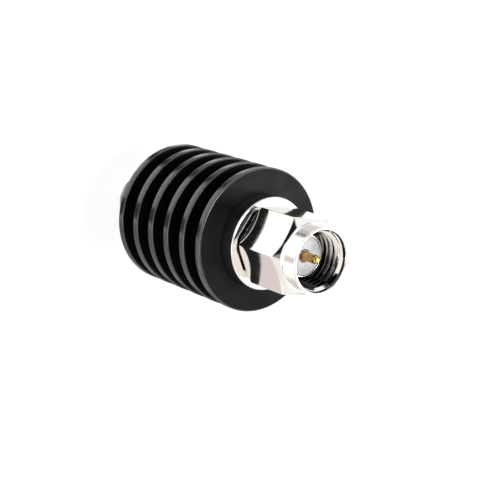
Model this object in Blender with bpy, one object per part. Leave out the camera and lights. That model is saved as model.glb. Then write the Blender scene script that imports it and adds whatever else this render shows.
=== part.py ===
"""Fixed coaxial attenuator with a finned heat sink, a screw-on plug and a jack.

The unit stands on its jack end: Z is the common axis and points to the plug.
All sizes are in metres. Radii grow from the insulator outwards, heights grow
from the jack's end face upwards, and every seat is its partner plus a clearance.
"""

import math

import bmesh
import bpy

MM = 0.001

# Clearances
FIT_CLEARANCE = 0.04 * MM       # radial, between pieces that are pressed or screwed together
RUNNING_CLEARANCE = 0.06 * MM   # radial, around pieces that turn
FACE_GAP = 0.03 * MM            # axial, between faces that meet
EDGE_BREAK = 0.08 * MM          # small chamfer on turned edges

# Centre contacts
CONTACT_DIAMETER = 1.27 * MM
PIN_DIAMETER = 0.94 * MM
PIN_REACH = 2.0 * MM            # from the plug's reference plane to the pin's tip
PIN_TAPER = 0.45 * MM           # length of the pin's tapered tip
PIN_TIP_DIAMETER = 0.42 * MM    # flat at the very tip
COLLAR_STEP = 0.30 * MM         # how far the captive collar stands out of the contact
COLLAR_LENGTH = 0.50 * MM
SOCKET_CLEARANCE = 0.015 * MM   # radial, between a mating pin and the socket
SOCKET_DEPTH = 2.9 * MM
SOCKET_LEAD_IN = 0.06 * MM
SLOT_WIDTH = 0.14 * MM
SLOT_LENGTH = 2.0 * MM

# Insulators
DIELECTRIC_DIAMETER = 4.10 * MM
DIELECTRIC_RECESS = 0.08 * MM   # insulator face behind the reference plane
BEAD_STEP = 0.55 * MM           # bead's radius beyond the insulator's
BEAD_LENGTH = 1.60 * MM
RETAINER_LENGTH = 1.40 * MM
RETAINER_WALL = 0.90 * MM

# Connector bodies
SPIGOT_WALL = 0.23 * MM
SPIGOT_LENGTH = 2.35 * MM
NECK_WALL = 0.51 * MM
NECK_NOSE = 1.30 * MM           # neck between the ring groove and the spigot
FLANGE_LAND = 0.70 * MM         # how far each flange covers the heat sink's end face
FLANGE_THICKNESS = 1.75 * MM
FLANGE_CHAMFER = 0.25 * MM
SHANK_WALL = 0.80 * MM
SHANK_LENGTH = 3.20 * MM

# Screw thread, the same on the jack's outside and in the nut
THREAD_PITCH = 25.4 * MM / 36
THREAD_CLEARANCE = 0.20 * MM    # radial, from the neck to the nut's thread core
THREAD_DEPTH = 0.40 * MM
THREAD_RUNOUT = 0.40 * MM       # length of the cones at the ends of the jack's thread
NUT_RUNOUT = 0.20 * MM          # length of the cone at the inner end of the nut's thread
CREST_SHARE = 0.25              # flat of each crest, as a share of the pitch
ROOT_SHARE = 0.625              # where each root lies, as a share of the pitch
JACK_THREAD_LENGTH = 5.00 * MM
JACK_RELIEF_LENGTH = 0.60 * MM
COUNTERBORE_DEPTH = 1.91 * MM

# Snap ring and its two grooves
RING_OFFSET = 1.50 * MM         # from the plug's flange to the ring groove
RING_THICKNESS = 0.35 * MM
RING_WIDTH = 0.60 * MM
RING_GROOVE_DEPTH = 0.28 * MM   # depth of the neck's groove
RING_GAP_ANGLE = math.radians(40)
NUT_FLOAT = 0.20 * MM           # end play of the nut and its ring

# Coupling nut
NUT_GAP = 0.40 * MM             # from the plug's flange to the nut's rear face
NUT_LENGTH = 8.00 * MM
NUT_RELIEF_LENGTH = 0.80 * MM
HEX_LENGTH = 6.10 * MM
HEX_STEP = 0.40 * MM            # how far the wrench flats stand out of the collar
HEX_REAR_LAND = 0.20 * MM       # the rear face's radius beyond the flats
CHAMFER_ANGLE = math.radians(30)
COLLAR_WALL = 0.40 * MM
LEAD_IN_DEPTH = 0.90 * MM       # from the nut's front to its first full crest
LEAD_IN_LENGTH = 0.45 * MM      # length of the cone that leads to that crest
NOSE_RADIUS = 0.12 * MM

# Barrel and heat sink
BARREL_WALL = 0.82 * MM
SINK_DIAMETER = 15.60 * MM
SINK_WALL = 0.86 * MM           # wall between the heat sink's bore and its groove floors
FIN_COUNT = 6
FIN_PITCH = 2.88 * MM
FIN_THICKNESS = 0.865 * MM
FIN_BREAK = 0.12 * MM

# Ceramic card and what holds it
STRAP_THICKNESS = 0.12 * MM
STRAP_WIDTH = 0.80 * MM
STRAP_ARCH = 0.30 * MM          # height of the strap's relief bend
STRAP_PAD = 0.70 * MM           # overlap of the strap on the card
STRAP_SEAT = 0.70 * MM          # depth of the strap in its contact
CARD_WIDTH = 4.60 * MM
CARD_THICKNESS = 0.64 * MM
CARD_MARGIN = 0.80 * MM         # carrier beyond each end of the card
CHANNEL_WIDTH = 2.60 * MM
CHANNEL_DEPTH = 1.40 * MM

# Fineness of the round surfaces
SINK_SEGMENTS = 56
BODY_SEGMENTS = 40
INNER_SEGMENTS = 32
CONTACT_SEGMENTS = 20
NOSE_STEPS = 4
TIP_STEPS = 4
STRAP_STEPS = 8
CARRIER_STEPS = 20
SMOOTH_ANGLE = math.radians(30)
AXIS_MERGE = 1e-7
FLATNESS = math.radians(0.01)   # faces that bend more than this are split

# Radii, from the axis outwards
CONTACT_RADIUS = CONTACT_DIAMETER / 2
PIN_RADIUS = PIN_DIAMETER / 2
COLLAR_RADIUS = CONTACT_RADIUS + COLLAR_STEP
DIELECTRIC_RADIUS = DIELECTRIC_DIAMETER / 2
DIELECTRIC_BORE = DIELECTRIC_RADIUS + FIT_CLEARANCE
BEAD_RADIUS = DIELECTRIC_RADIUS + BEAD_STEP
BEAD_SEAT = BEAD_RADIUS + FIT_CLEARANCE
SHANK_RADIUS = BEAD_SEAT + SHANK_WALL
BARREL_BORE = SHANK_RADIUS + FIT_CLEARANCE
BARREL_RADIUS = BARREL_BORE + BARREL_WALL
SINK_BORE = BARREL_RADIUS + FIT_CLEARANCE
SINK_ROOT = SINK_BORE + SINK_WALL
SINK_RADIUS = SINK_DIAMETER / 2
FLANGE_RADIUS = BARREL_RADIUS + FLANGE_LAND
SPIGOT_RADIUS = DIELECTRIC_BORE + SPIGOT_WALL
COUNTERBORE_RADIUS = SPIGOT_RADIUS + FIT_CLEARANCE
NECK_RADIUS = DIELECTRIC_BORE + NECK_WALL
NECK_GROOVE = NECK_RADIUS - RING_GROOVE_DEPTH
RING_INNER = NECK_GROOVE + RUNNING_CLEARANCE
RING_OUTER = RING_INNER + RING_WIDTH
NUT_BORE = NECK_RADIUS + RUNNING_CLEARANCE
NUT_GROOVE = RING_OUTER + RUNNING_CLEARANCE
NUT_CORE = NECK_RADIUS + THREAD_CLEARANCE
NUT_THREAD = NUT_CORE + THREAD_DEPTH
COLLAR_OUTER = NUT_THREAD + COLLAR_WALL
HEX_FLAT = COLLAR_OUTER + HEX_STEP
HEX_CORNER = HEX_FLAT / math.cos(math.pi / 6)
JACK_THREAD = NUT_THREAD - RUNNING_CLEARANCE
JACK_ROOT = NUT_CORE - RUNNING_CLEARANCE

# Heights above the jack's end face
SINK_LENGTH = (FIN_COUNT - 1) * FIN_PITCH + FIN_THICKNESS
JACK_SHOULDER = JACK_THREAD_LENGTH + JACK_RELIEF_LENGTH
JACK_SEAT = JACK_SHOULDER + FLANGE_THICKNESS
SINK_REAR = JACK_SEAT + FACE_GAP
SINK_FRONT = SINK_REAR + SINK_LENGTH
PLUG_SEAT = SINK_FRONT + FACE_GAP
PLUG_FLANGE_FRONT = PLUG_SEAT + FLANGE_THICKNESS
JACK_SHANK_END = JACK_SEAT + SHANK_LENGTH
PLUG_SHANK_END = PLUG_SEAT - SHANK_LENGTH
BEAD_SEAT_DEPTH = RETAINER_LENGTH + BEAD_LENGTH + 2 * FACE_GAP
RING_GROOVE_HEIGHT = RING_THICKNESS + NUT_FLOAT + 2 * FACE_GAP
RING_GROOVE_START = PLUG_FLANGE_FRONT + RING_OFFSET
NECK_END = RING_GROOVE_START + RING_GROOVE_HEIGHT + NECK_NOSE
REFERENCE_PLANE = NECK_END + SPIGOT_LENGTH
NUT_REAR = PLUG_FLANGE_FRONT + NUT_GAP
CARRIER_START = JACK_SHANK_END + FACE_GAP
CARRIER_END = PLUG_SHANK_END - FACE_GAP
CARD_START = CARRIER_START + CARD_MARGIN
CARD_END = CARRIER_END - CARD_MARGIN
CARD_FACE = -STRAP_THICKNESS / 2 - FACE_GAP


def clear_scene():
    """Removes whatever objects the scene holds."""
    for item in list(bpy.data.objects):
        bpy.data.objects.remove(item, do_unlink=True)


def make_material(name, colour, roughness, metallic):
    """Returns a plain surface of the given colour, roughness and metallic value."""
    material = bpy.data.materials.new(name)
    material.use_nodes = True
    shader = material.node_tree.nodes["Principled BSDF"]
    shader.inputs["Base Color"].default_value = (*colour, 1.0)
    shader.inputs["Roughness"].default_value = roughness
    shader.inputs["Metallic"].default_value = metallic
    return material


def black_anodised():
    """Satin black anodised aluminium."""
    return make_material("black_anodised", (0.012, 0.012, 0.014), 0.42, 0.3)


def bright_nickel():
    """Bright nickel plate on brass."""
    return make_material("bright_nickel", (0.78, 0.75, 0.71), 0.12, 1.0)


def gold_plate():
    """Gold plate on the centre contacts and straps."""
    return make_material("gold_plate", (0.83, 0.56, 0.20), 0.22, 1.0)


def white_insulator():
    """Soft white fluoropolymer."""
    return make_material("white_insulator", (0.80, 0.80, 0.79), 0.45, 0.0)


def tan_bead():
    """Tan hard plastic."""
    return make_material("tan_bead", (0.55, 0.42, 0.27), 0.5, 0.0)


def white_ceramic():
    """White alumina."""
    return make_material("white_ceramic", (0.86, 0.85, 0.82), 0.55, 0.0)


def spring_bronze():
    """Bare spring bronze."""
    return make_material("spring_bronze", (0.70, 0.48, 0.30), 0.3, 1.0)


def add_object(name, geometry, material):
    """Turns edited geometry into a smooth shaded object with one material."""
    bmesh.ops.recalc_face_normals(geometry, faces=geometry.faces)
    mesh = bpy.data.meshes.new(name)
    geometry.to_mesh(mesh)
    geometry.free()
    mesh.shade_smooth()
    mesh.set_sharp_from_angle(angle=SMOOTH_ANGLE)
    mesh.materials.append(material)
    item = bpy.data.objects.new(name, mesh)
    bpy.context.collection.objects.link(item)
    return item


def turned(name, outline, segments, material):
    """Spins an outline of (radius, height) points once around Z.

    An outline that starts and ends on the axis is left open there, any other is closed.
    """
    geometry = bmesh.new()
    points = [geometry.verts.new((radius, 0.0, height)) for radius, height in outline]
    edges = [geometry.edges.new(pair) for pair in zip(points, points[1:])]
    if outline[0][0] > 0.0:
        edges.append(geometry.edges.new((points[-1], points[0])))
    bmesh.ops.spin(
        geometry,
        geom=points + edges,
        axis=(0.0, 0.0, 1.0),
        angle=2 * math.pi,
        steps=segments,
        use_merge=True,
    )
    bmesh.ops.remove_doubles(geometry, verts=geometry.verts, dist=AXIS_MERGE)
    return add_object(name, geometry, material)


def extruded(name, outline, direction, material):
    """Extrudes a closed flat outline of 3D points along a direction."""
    geometry = bmesh.new()
    face = geometry.faces.new([geometry.verts.new(point) for point in outline])
    swept = bmesh.ops.extrude_face_region(geometry, geom=[face])
    moved = [item for item in swept["geom"] if isinstance(item, bmesh.types.BMVert)]
    bmesh.ops.translate(geometry, verts=moved, vec=direction)
    return add_object(name, geometry, material)


def box_cutter(name, size, centre):
    """Returns a hidden box that cuts other pieces."""
    geometry = bmesh.new()
    bmesh.ops.create_cube(geometry, size=1.0)
    bmesh.ops.scale(geometry, verts=geometry.verts, vec=size)
    bmesh.ops.translate(geometry, verts=geometry.verts, vec=centre)
    return hide_cutter(add_object(name, geometry, bright_nickel()))


def hide_cutter(cutter):
    """Keeps a cutter out of the finished model."""
    cutter.hide_render = True
    cutter.display_type = "WIRE"
    return cutter


def combine(item, cutter, operation):
    """Adds an exact Boolean of the given operation."""
    modifier = item.modifiers.new(cutter.name, "BOOLEAN")
    modifier.operation = operation
    modifier.solver = "EXACT"
    modifier.object = cutter


def place(item, parent, height):
    """Hangs an item under its parent at a height above the parent's own origin."""
    item.parent = parent
    item.location = (0.0, 0.0, height)


def thread_rows(crest, root, start, end, cones, angle):
    """Section of a right-hand thread at an angle around Z, from its lower to its upper end.

    The two cones are the heights over which the thread grows from root to crest at its
    ends. A row beyond an end, or too close to it for a face of its own, lies on that end.
    """
    rows = []
    for turn in range(math.ceil((end - start) / THREAD_PITCH) + 1):
        for share, is_crest in ((0.0, True), (CREST_SHARE, True), (ROOT_SHARE, False)):
            turned_share = turn - 1 + share + angle / (2 * math.pi)
            height = start + turned_share * THREAD_PITCH
            if height < start + FACE_GAP:
                height = start
            elif height > end - FACE_GAP:
                height = end
            level = min((height - start) / cones[0], (end - height) / cones[1], float(is_crest))
            rows.append((root + (crest - root) * level, height))
    return rows


def threaded(name, section_at, segments, material):
    """Turns a closed section that changes with the angle, as a screw thread does."""
    geometry = bmesh.new()
    columns = []
    for index in range(segments + 1):
        angle = 2 * math.pi * index / segments
        column = []
        for radius, height in section_at(angle):
            point = (radius * math.cos(angle), radius * math.sin(angle), height)
            column.append(geometry.verts.new(point))
        columns.append(column)
    for left, right in zip(columns, columns[1:]):
        for index in range(len(left)):
            above = (index + 1) % len(left)
            geometry.faces.new((left[index], right[index], right[above], left[above]))
    bmesh.ops.remove_doubles(geometry, verts=geometry.verts, dist=AXIS_MERGE)
    bmesh.ops.connect_verts_nonplanar(geometry, angle_limit=FLATNESS, faces=geometry.faces)
    return add_object(name, geometry, material)


def ring_outline(inner, outer, start, end, chamfer):
    """Section of a plain ring with small outer chamfers."""
    return [
        (inner, start),
        (outer - chamfer, start),
        (outer, start + chamfer),
        (outer, end - chamfer),
        (outer - chamfer, end),
        (inner, end),
    ]


def heat_sink():
    """One turned piece: a bore, square grooves and fins with broken edges."""
    outline = [(SINK_BORE, EDGE_BREAK), (SINK_BORE + EDGE_BREAK, 0.0)]
    for index in range(FIN_COUNT):
        start = index * FIN_PITCH
        end = start + FIN_THICKNESS
        if index > 0:
            outline.append((SINK_ROOT, start))
        outline.append((SINK_RADIUS - FIN_BREAK, start))
        outline.append((SINK_RADIUS, start + FIN_BREAK))
        outline.append((SINK_RADIUS, end - FIN_BREAK))
        outline.append((SINK_RADIUS - FIN_BREAK, end))
        if index < FIN_COUNT - 1:
            outline.append((SINK_ROOT, end))
    outline.append((SINK_BORE + EDGE_BREAK, SINK_LENGTH))
    outline.append((SINK_BORE, SINK_LENGTH - EDGE_BREAK))
    return turned("heat_sink", outline, SINK_SEGMENTS, black_anodised())


def barrel():
    """Tube that joins the two connector bodies inside the heat sink."""
    outline = ring_outline(BARREL_BORE, BARREL_RADIUS, 0.0, SINK_LENGTH, EDGE_BREAK)
    return turned("barrel", outline, BODY_SEGMENTS, bright_nickel())


def jack_section(angle):
    """Section of the jack's body at an angle: flange, shank and bores, then the thread."""
    bead_step = JACK_SHANK_END - BEAD_SEAT_DEPTH
    cones = (THREAD_RUNOUT, THREAD_RUNOUT)
    thread = thread_rows(JACK_THREAD, JACK_ROOT, 0.0, JACK_THREAD_LENGTH, cones, angle)
    outline = [
        (JACK_ROOT, JACK_THREAD_LENGTH),
        (JACK_ROOT, JACK_SHOULDER),
        (FLANGE_RADIUS - FLANGE_CHAMFER, JACK_SHOULDER),
        (FLANGE_RADIUS, JACK_SHOULDER + FLANGE_CHAMFER),
        (FLANGE_RADIUS, JACK_SEAT - EDGE_BREAK),
        (FLANGE_RADIUS - EDGE_BREAK, JACK_SEAT),
        (SHANK_RADIUS, JACK_SEAT),
        (SHANK_RADIUS, JACK_SHANK_END - EDGE_BREAK),
        (SHANK_RADIUS - EDGE_BREAK, JACK_SHANK_END),
        (BEAD_SEAT, JACK_SHANK_END),
        (BEAD_SEAT, bead_step),
        (DIELECTRIC_BORE, bead_step),
        (DIELECTRIC_BORE, COUNTERBORE_DEPTH),
        (COUNTERBORE_RADIUS, COUNTERBORE_DEPTH),
        (COUNTERBORE_RADIUS, EDGE_BREAK),
        (COUNTERBORE_RADIUS + EDGE_BREAK, 0.0),
        (JACK_ROOT, 0.0),
    ]
    return outline + thread


def jack_body():
    """Threaded barrel, relief, flange and shank of the jack, bored from both ends."""
    return threaded("jack_body", jack_section, BODY_SEGMENTS, bright_nickel())


def plug_body():
    """Shank, flange, grooved neck and thin spigot of the plug, bored from both ends."""
    shank_end = -SHANK_LENGTH
    bead_step = shank_end + BEAD_SEAT_DEPTH
    groove_start = RING_GROOVE_START - PLUG_SEAT
    groove_end = groove_start + RING_GROOVE_HEIGHT
    neck_end = NECK_END - PLUG_SEAT
    spigot_end = REFERENCE_PLANE - PLUG_SEAT
    outline = [
        (BEAD_SEAT, shank_end),
        (SHANK_RADIUS - EDGE_BREAK, shank_end),
        (SHANK_RADIUS, shank_end + EDGE_BREAK),
        (SHANK_RADIUS, 0.0),
        (FLANGE_RADIUS - EDGE_BREAK, 0.0),
        (FLANGE_RADIUS, EDGE_BREAK),
        (FLANGE_RADIUS, FLANGE_THICKNESS - FLANGE_CHAMFER),
        (FLANGE_RADIUS - FLANGE_CHAMFER, FLANGE_THICKNESS),
        (NECK_RADIUS, FLANGE_THICKNESS),
        (NECK_RADIUS, groove_start),
        (NECK_GROOVE, groove_start),
        (NECK_GROOVE, groove_end),
        (NECK_RADIUS, groove_end),
        (NECK_RADIUS, neck_end - EDGE_BREAK),
        (NECK_RADIUS - EDGE_BREAK, neck_end),
        (SPIGOT_RADIUS, neck_end),
        (SPIGOT_RADIUS, spigot_end - EDGE_BREAK),
        (SPIGOT_RADIUS - EDGE_BREAK, spigot_end),
        (DIELECTRIC_BORE, spigot_end),
        (DIELECTRIC_BORE, bead_step),
        (BEAD_SEAT, bead_step),
    ]
    return turned("plug_body", outline, BODY_SEGMENTS, bright_nickel())


def rounded_end(outer, end, across, along, steps):
    """Quarter ellipse from an outer radius to a flat end, across and along in size."""
    points = []
    for step in range(steps + 1):
        angle = math.pi / 2 * step / steps
        radius = outer - across * (1 - math.cos(angle))
        height = end - along * (1 - math.sin(angle))
        points.append((radius, height))
    return points


def nut_section(angle):
    """Section of the nut at an angle before its flats are cut, above its rear face."""
    face_radius = HEX_FLAT + HEX_REAR_LAND
    blank_radius = HEX_CORNER + EDGE_BREAK
    rear_chamfer = (blank_radius - face_radius) * math.tan(CHAMFER_ANGLE)
    front_chamfer = (blank_radius - COLLAR_OUTER) * math.tan(CHAMFER_ANGLE)
    groove_start = RING_GROOVE_START - NUT_REAR
    groove_end = groove_start + RING_THICKNESS + 2 * FACE_GAP
    relief_start = NECK_END - NUT_REAR
    relief_end = relief_start + NUT_RELIEF_LENGTH
    lip_start = NUT_LENGTH - LEAD_IN_DEPTH + LEAD_IN_LENGTH
    outer = [
        (NUT_BORE + EDGE_BREAK, 0.0),
        (face_radius, 0.0),
        (blank_radius, rear_chamfer),
        (blank_radius, HEX_LENGTH - front_chamfer),
        (COLLAR_OUTER, HEX_LENGTH),
    ]
    nose = rounded_end(COLLAR_OUTER, NUT_LENGTH, NOSE_RADIUS, NOSE_RADIUS, NOSE_STEPS)
    lip = [(NUT_THREAD, NUT_LENGTH), (NUT_THREAD, lip_start)]
    cones = (NUT_RUNOUT, LEAD_IN_LENGTH)
    thread = thread_rows(NUT_CORE, NUT_THREAD, relief_end, lip_start, cones, angle)
    thread.reverse()
    inner = [
        (NUT_THREAD, relief_end),
        (NUT_THREAD, relief_start),
        (NUT_BORE, relief_start),
        (NUT_BORE, groove_end),
        (NUT_GROOVE, groove_end),
        (NUT_GROOVE, groove_start),
        (NUT_BORE, groove_start),
        (NUT_BORE, EDGE_BREAK),
    ]
    return outer + nose + lip + thread + inner


def hexagon_cutter():
    """Hexagonal prism as long as the nut, one corner on X."""
    corners = []
    for index in range(6):
        angle = math.radians(60) * index
        corners.append((HEX_CORNER * math.cos(angle), HEX_CORNER * math.sin(angle), -EDGE_BREAK))
    height = NUT_LENGTH + 2 * EDGE_BREAK
    return hide_cutter(extruded("hexagon_cutter", corners, (0.0, 0.0, height), bright_nickel()))


def coupling_nut():
    """Threaded blank cut to a hexagon, which leaves curved chamfers on the wrench flats."""
    nut = threaded("coupling_nut", nut_section, BODY_SEGMENTS, bright_nickel())
    cutter = hexagon_cutter()
    cutter.parent = nut
    combine(nut, cutter, "INTERSECT")
    return nut


def nut_snap_ring():
    """Open ring of square section, spun short of a full turn."""
    geometry = bmesh.new()
    section = [
        (RING_INNER, 0.0, 0.0),
        (RING_OUTER, 0.0, 0.0),
        (RING_OUTER, 0.0, RING_THICKNESS),
        (RING_INNER, 0.0, RING_THICKNESS),
    ]
    face = geometry.faces.new([geometry.verts.new(point) for point in section])
    bmesh.ops.spin(
        geometry,
        geom=[face] + list(face.verts) + list(face.edges),
        axis=(0.0, 0.0, 1.0),
        angle=2 * math.pi - RING_GAP_ANGLE,
        steps=BODY_SEGMENTS,
    )
    return add_object("nut_snap_ring", geometry, spring_bronze())


def dielectric(name, length):
    """Insulating sleeve around a centre contact."""
    hole = CONTACT_RADIUS + FIT_CLEARANCE
    outline = ring_outline(hole, DIELECTRIC_RADIUS, 0.0, length, EDGE_BREAK)
    return turned(name, outline, INNER_SEGMENTS, white_insulator())


def bead(name):
    """Hard bead whose front recess holds the contact's collar."""
    hole = CONTACT_RADIUS + FIT_CLEARANCE
    recess = COLLAR_RADIUS + FIT_CLEARANCE
    recess_depth = COLLAR_LENGTH + FACE_GAP
    outline = [
        (hole, 0.0),
        (BEAD_RADIUS - EDGE_BREAK, 0.0),
        (BEAD_RADIUS, EDGE_BREAK),
        (BEAD_RADIUS, BEAD_LENGTH),
        (recess, BEAD_LENGTH),
        (recess, BEAD_LENGTH - recess_depth),
        (hole, BEAD_LENGTH - recess_depth),
    ]
    return turned(name, outline, INNER_SEGMENTS, tan_bead())


def retainer(name):
    """Ring pressed in behind a bead."""
    inner = BEAD_RADIUS - RETAINER_WALL
    outline = ring_outline(inner, BEAD_RADIUS, 0.0, RETAINER_LENGTH, EDGE_BREAK)
    return turned(name, outline, INNER_SEGMENTS, bright_nickel())


def contact_shank(length):
    """Outline of a contact's inner end, from its strap slot to its collar and beyond."""
    collar_start = RETAINER_LENGTH + BEAD_LENGTH + FACE_GAP - COLLAR_LENGTH
    collar_end = collar_start + COLLAR_LENGTH
    return [
        (0.0, 0.0),
        (CONTACT_RADIUS, 0.0),
        (CONTACT_RADIUS, collar_start),
        (COLLAR_RADIUS, collar_start),
        (COLLAR_RADIUS, collar_end),
        (CONTACT_RADIUS, collar_end),
        (CONTACT_RADIUS, length - EDGE_BREAK),
    ]


def cut_strap_slot(item):
    """Slots a contact's inner end for its strap."""
    width = STRAP_THICKNESS + 2 * FACE_GAP
    size = (4 * CONTACT_RADIUS, width, 2 * (STRAP_SEAT + FACE_GAP))
    cutter = box_cutter(item.name + "_strap_slot", size, (0.0, 0.0, 0.0))
    cutter.parent = item
    combine(item, cutter, "DIFFERENCE")


def plug_pin():
    """Centre pin with a rounded tip, a captive collar and a slotted inner end."""
    shoulder = REFERENCE_PLANE - DIELECTRIC_RECESS - PLUG_SHANK_END
    tip = REFERENCE_PLANE + PIN_REACH - PLUG_SHANK_END
    outline = contact_shank(shoulder)
    outline.append((CONTACT_RADIUS - EDGE_BREAK, shoulder))
    outline.append((PIN_RADIUS, shoulder))
    outline += rounded_end(PIN_RADIUS, tip, PIN_RADIUS - PIN_TIP_DIAMETER / 2, PIN_TAPER, TIP_STEPS)
    outline.append((0.0, tip))
    pin = turned("plug_pin", outline, CONTACT_SEGMENTS, gold_plate())
    cut_strap_slot(pin)
    return pin


def jack_socket():
    """Slotted socket with four fingers, a captive collar and a slotted inner end."""
    length = JACK_SHANK_END - COUNTERBORE_DEPTH - DIELECTRIC_RECESS
    bore = PIN_RADIUS + SOCKET_CLEARANCE
    outline = contact_shank(length) + [
        (CONTACT_RADIUS - EDGE_BREAK, length),
        (bore + SOCKET_LEAD_IN, length),
        (bore, length - SOCKET_LEAD_IN),
        (bore, length - SOCKET_DEPTH),
        (0.0, length - SOCKET_DEPTH),
    ]
    socket = turned("jack_socket", outline, CONTACT_SEGMENTS, gold_plate())
    cut_strap_slot(socket)
    span = 4 * CONTACT_RADIUS
    for index, size in enumerate(((span, SLOT_WIDTH), (SLOT_WIDTH, span))):
        name = "finger_slot_" + str(index + 1)
        cutter = box_cutter(name, (*size, 2 * SLOT_LENGTH), (0.0, 0.0, length))
        cutter.parent = socket
        combine(socket, cutter, "DIFFERENCE")
    return socket


def contact_tab(name):
    """Thin strap with one relief bend, from inside its contact to the card's end pad."""
    flat = STRAP_SEAT
    bend = CARD_MARGIN + FACE_GAP
    centre_line = [(0.0, 0.0), (flat, 0.0)]
    for step in range(1, STRAP_STEPS + 1):
        share = step / STRAP_STEPS
        rise = STRAP_ARCH * (1 - math.cos(2 * math.pi * share)) / 2
        centre_line.append((flat + bend * share, rise))
    centre_line.append((flat + bend + STRAP_PAD, 0.0))
    half = STRAP_THICKNESS / 2
    side = -STRAP_WIDTH / 2
    upper = [(side, rise + half, along) for along, rise in centre_line]
    lower = [(side, rise - half, along) for along, rise in reversed(centre_line)]
    return extruded(name, upper + lower, (STRAP_WIDTH, 0.0, 0.0), gold_plate())


def attenuator_chip():
    """Ceramic card whose film side lies just under the straps."""
    half = CARD_WIDTH / 2
    back = CARD_FACE - CARD_THICKNESS
    outline = [
        (-half, back, 0.0),
        (half, back, 0.0),
        (half, CARD_FACE, 0.0),
        (-half, CARD_FACE, 0.0),
    ]
    direction = (0.0, 0.0, CARD_END - CARD_START)
    return extruded("attenuator_chip", outline, direction, white_ceramic())


def chord_arc(level, side):
    """Points of the carrier's circle on one side of a level, from -X to +X below it.

    The side is 1 for the arc above the level and -1 for the arc below it.
    """
    radius = BARREL_BORE - FIT_CLEARANCE
    start = math.asin(level / radius)
    sweep = math.pi - side * 2 * start
    points = []
    for step in range(CARRIER_STEPS + 1):
        angle = side * (sweep * step / CARRIER_STEPS) + start
        points.append((radius * math.cos(angle), radius * math.sin(angle), 0.0))
    return points


def chip_carrier(name, level, notch_width, notch_depth, side):
    """Half-round block with one open notch along its flat side."""
    half = notch_width / 2
    notch = level + side * notch_depth
    outline = chord_arc(level, side)
    outline.append((-half, level, 0.0))
    outline.append((-half, notch, 0.0))
    outline.append((half, notch, 0.0))
    outline.append((half, level, 0.0))
    return extruded(name, outline, (0.0, 0.0, CARRIER_END - CARRIER_START), bright_nickel())


def upper_carrier():
    """Carrier half with the air channel over the card's film."""
    return chip_carrier("chip_carrier_upper", CARD_FACE + FACE_GAP, CHANNEL_WIDTH, CHANNEL_DEPTH, 1)


def lower_carrier():
    """Carrier half with the pocket that the card lies in."""
    width = CARD_WIDTH + 2 * FIT_CLEARANCE
    depth = CARD_THICKNESS + FACE_GAP
    return chip_carrier("chip_carrier_lower", CARD_FACE, width, depth, -1)


def flip(item):
    """Turns an item end over end, so that its front points to the jack."""
    item.rotation_euler = (math.pi, 0.0, 0.0)


def build():
    """Makes every piece and puts it in its place."""
    clear_scene()
    root = bpy.data.objects.new("attenuator", None)
    bpy.context.collection.objects.link(root)

    place(jack_body(), root, 0.0)
    place(heat_sink(), root, SINK_REAR)
    place(barrel(), root, SINK_REAR)
    place(plug_body(), root, PLUG_SEAT)

    jack_stack = (
        (jack_socket(), JACK_SHANK_END),
        (retainer("jack_retainer"), JACK_SHANK_END),
        (bead("jack_bead"), JACK_SHANK_END - RETAINER_LENGTH - FACE_GAP),
    )
    for item, height in jack_stack:
        place(item, root, height)
        flip(item)
    jack_step = JACK_SHANK_END - BEAD_SEAT_DEPTH
    jack_face = COUNTERBORE_DEPTH + DIELECTRIC_RECESS
    place(dielectric("jack_dielectric", jack_step - jack_face), root, jack_face)

    place(plug_pin(), root, PLUG_SHANK_END)
    place(retainer("plug_retainer"), root, PLUG_SHANK_END)
    place(bead("plug_bead"), root, PLUG_SHANK_END + RETAINER_LENGTH + FACE_GAP)
    plug_step = PLUG_SHANK_END + BEAD_SEAT_DEPTH
    plug_face = REFERENCE_PLANE - DIELECTRIC_RECESS
    place(dielectric("plug_dielectric", plug_face - plug_step), root, plug_step)

    place(attenuator_chip(), root, CARD_START)
    place(upper_carrier(), root, CARRIER_START)
    place(lower_carrier(), root, CARRIER_START)
    place(contact_tab("jack_contact_tab"), root, JACK_SHANK_END - STRAP_SEAT)
    plug_tab = contact_tab("plug_contact_tab")
    place(plug_tab, root, PLUG_SHANK_END + STRAP_SEAT)
    plug_tab.rotation_euler = (0.0, math.pi, 0.0)

    ring = nut_snap_ring()
    place(ring, root, RING_GROOVE_START + FACE_GAP)
    place(coupling_nut(), ring, NUT_REAR - RING_GROOVE_START - FACE_GAP)


build()
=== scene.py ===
"""Dresses a packed coaxial attenuator in its finishes and sets it in a plain studio.

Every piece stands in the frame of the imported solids: Z is the common axis, the jack's
end face is at height 0 and the plug points up. All lengths are in metres.
"""

import functools
import logging
import math
from dataclasses import dataclass, field
from enum import Enum
from typing import Callable, NamedTuple, Sequence

import bmesh
import bpy
from mathutils import Matrix, Vector


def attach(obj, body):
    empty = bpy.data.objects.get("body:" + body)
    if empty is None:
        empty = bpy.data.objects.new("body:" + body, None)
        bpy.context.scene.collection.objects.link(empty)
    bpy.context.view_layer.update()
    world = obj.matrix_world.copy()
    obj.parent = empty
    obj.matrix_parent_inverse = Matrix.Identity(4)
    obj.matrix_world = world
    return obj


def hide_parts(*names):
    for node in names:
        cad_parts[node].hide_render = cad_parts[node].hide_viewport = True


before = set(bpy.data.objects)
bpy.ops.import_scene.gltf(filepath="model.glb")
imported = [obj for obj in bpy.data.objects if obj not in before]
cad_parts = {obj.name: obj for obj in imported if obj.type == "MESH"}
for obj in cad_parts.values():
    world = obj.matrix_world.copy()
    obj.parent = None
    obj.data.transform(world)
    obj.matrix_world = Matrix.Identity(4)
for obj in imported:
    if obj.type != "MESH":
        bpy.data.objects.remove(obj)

LOG = logging.getLogger("attenuator")

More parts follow.
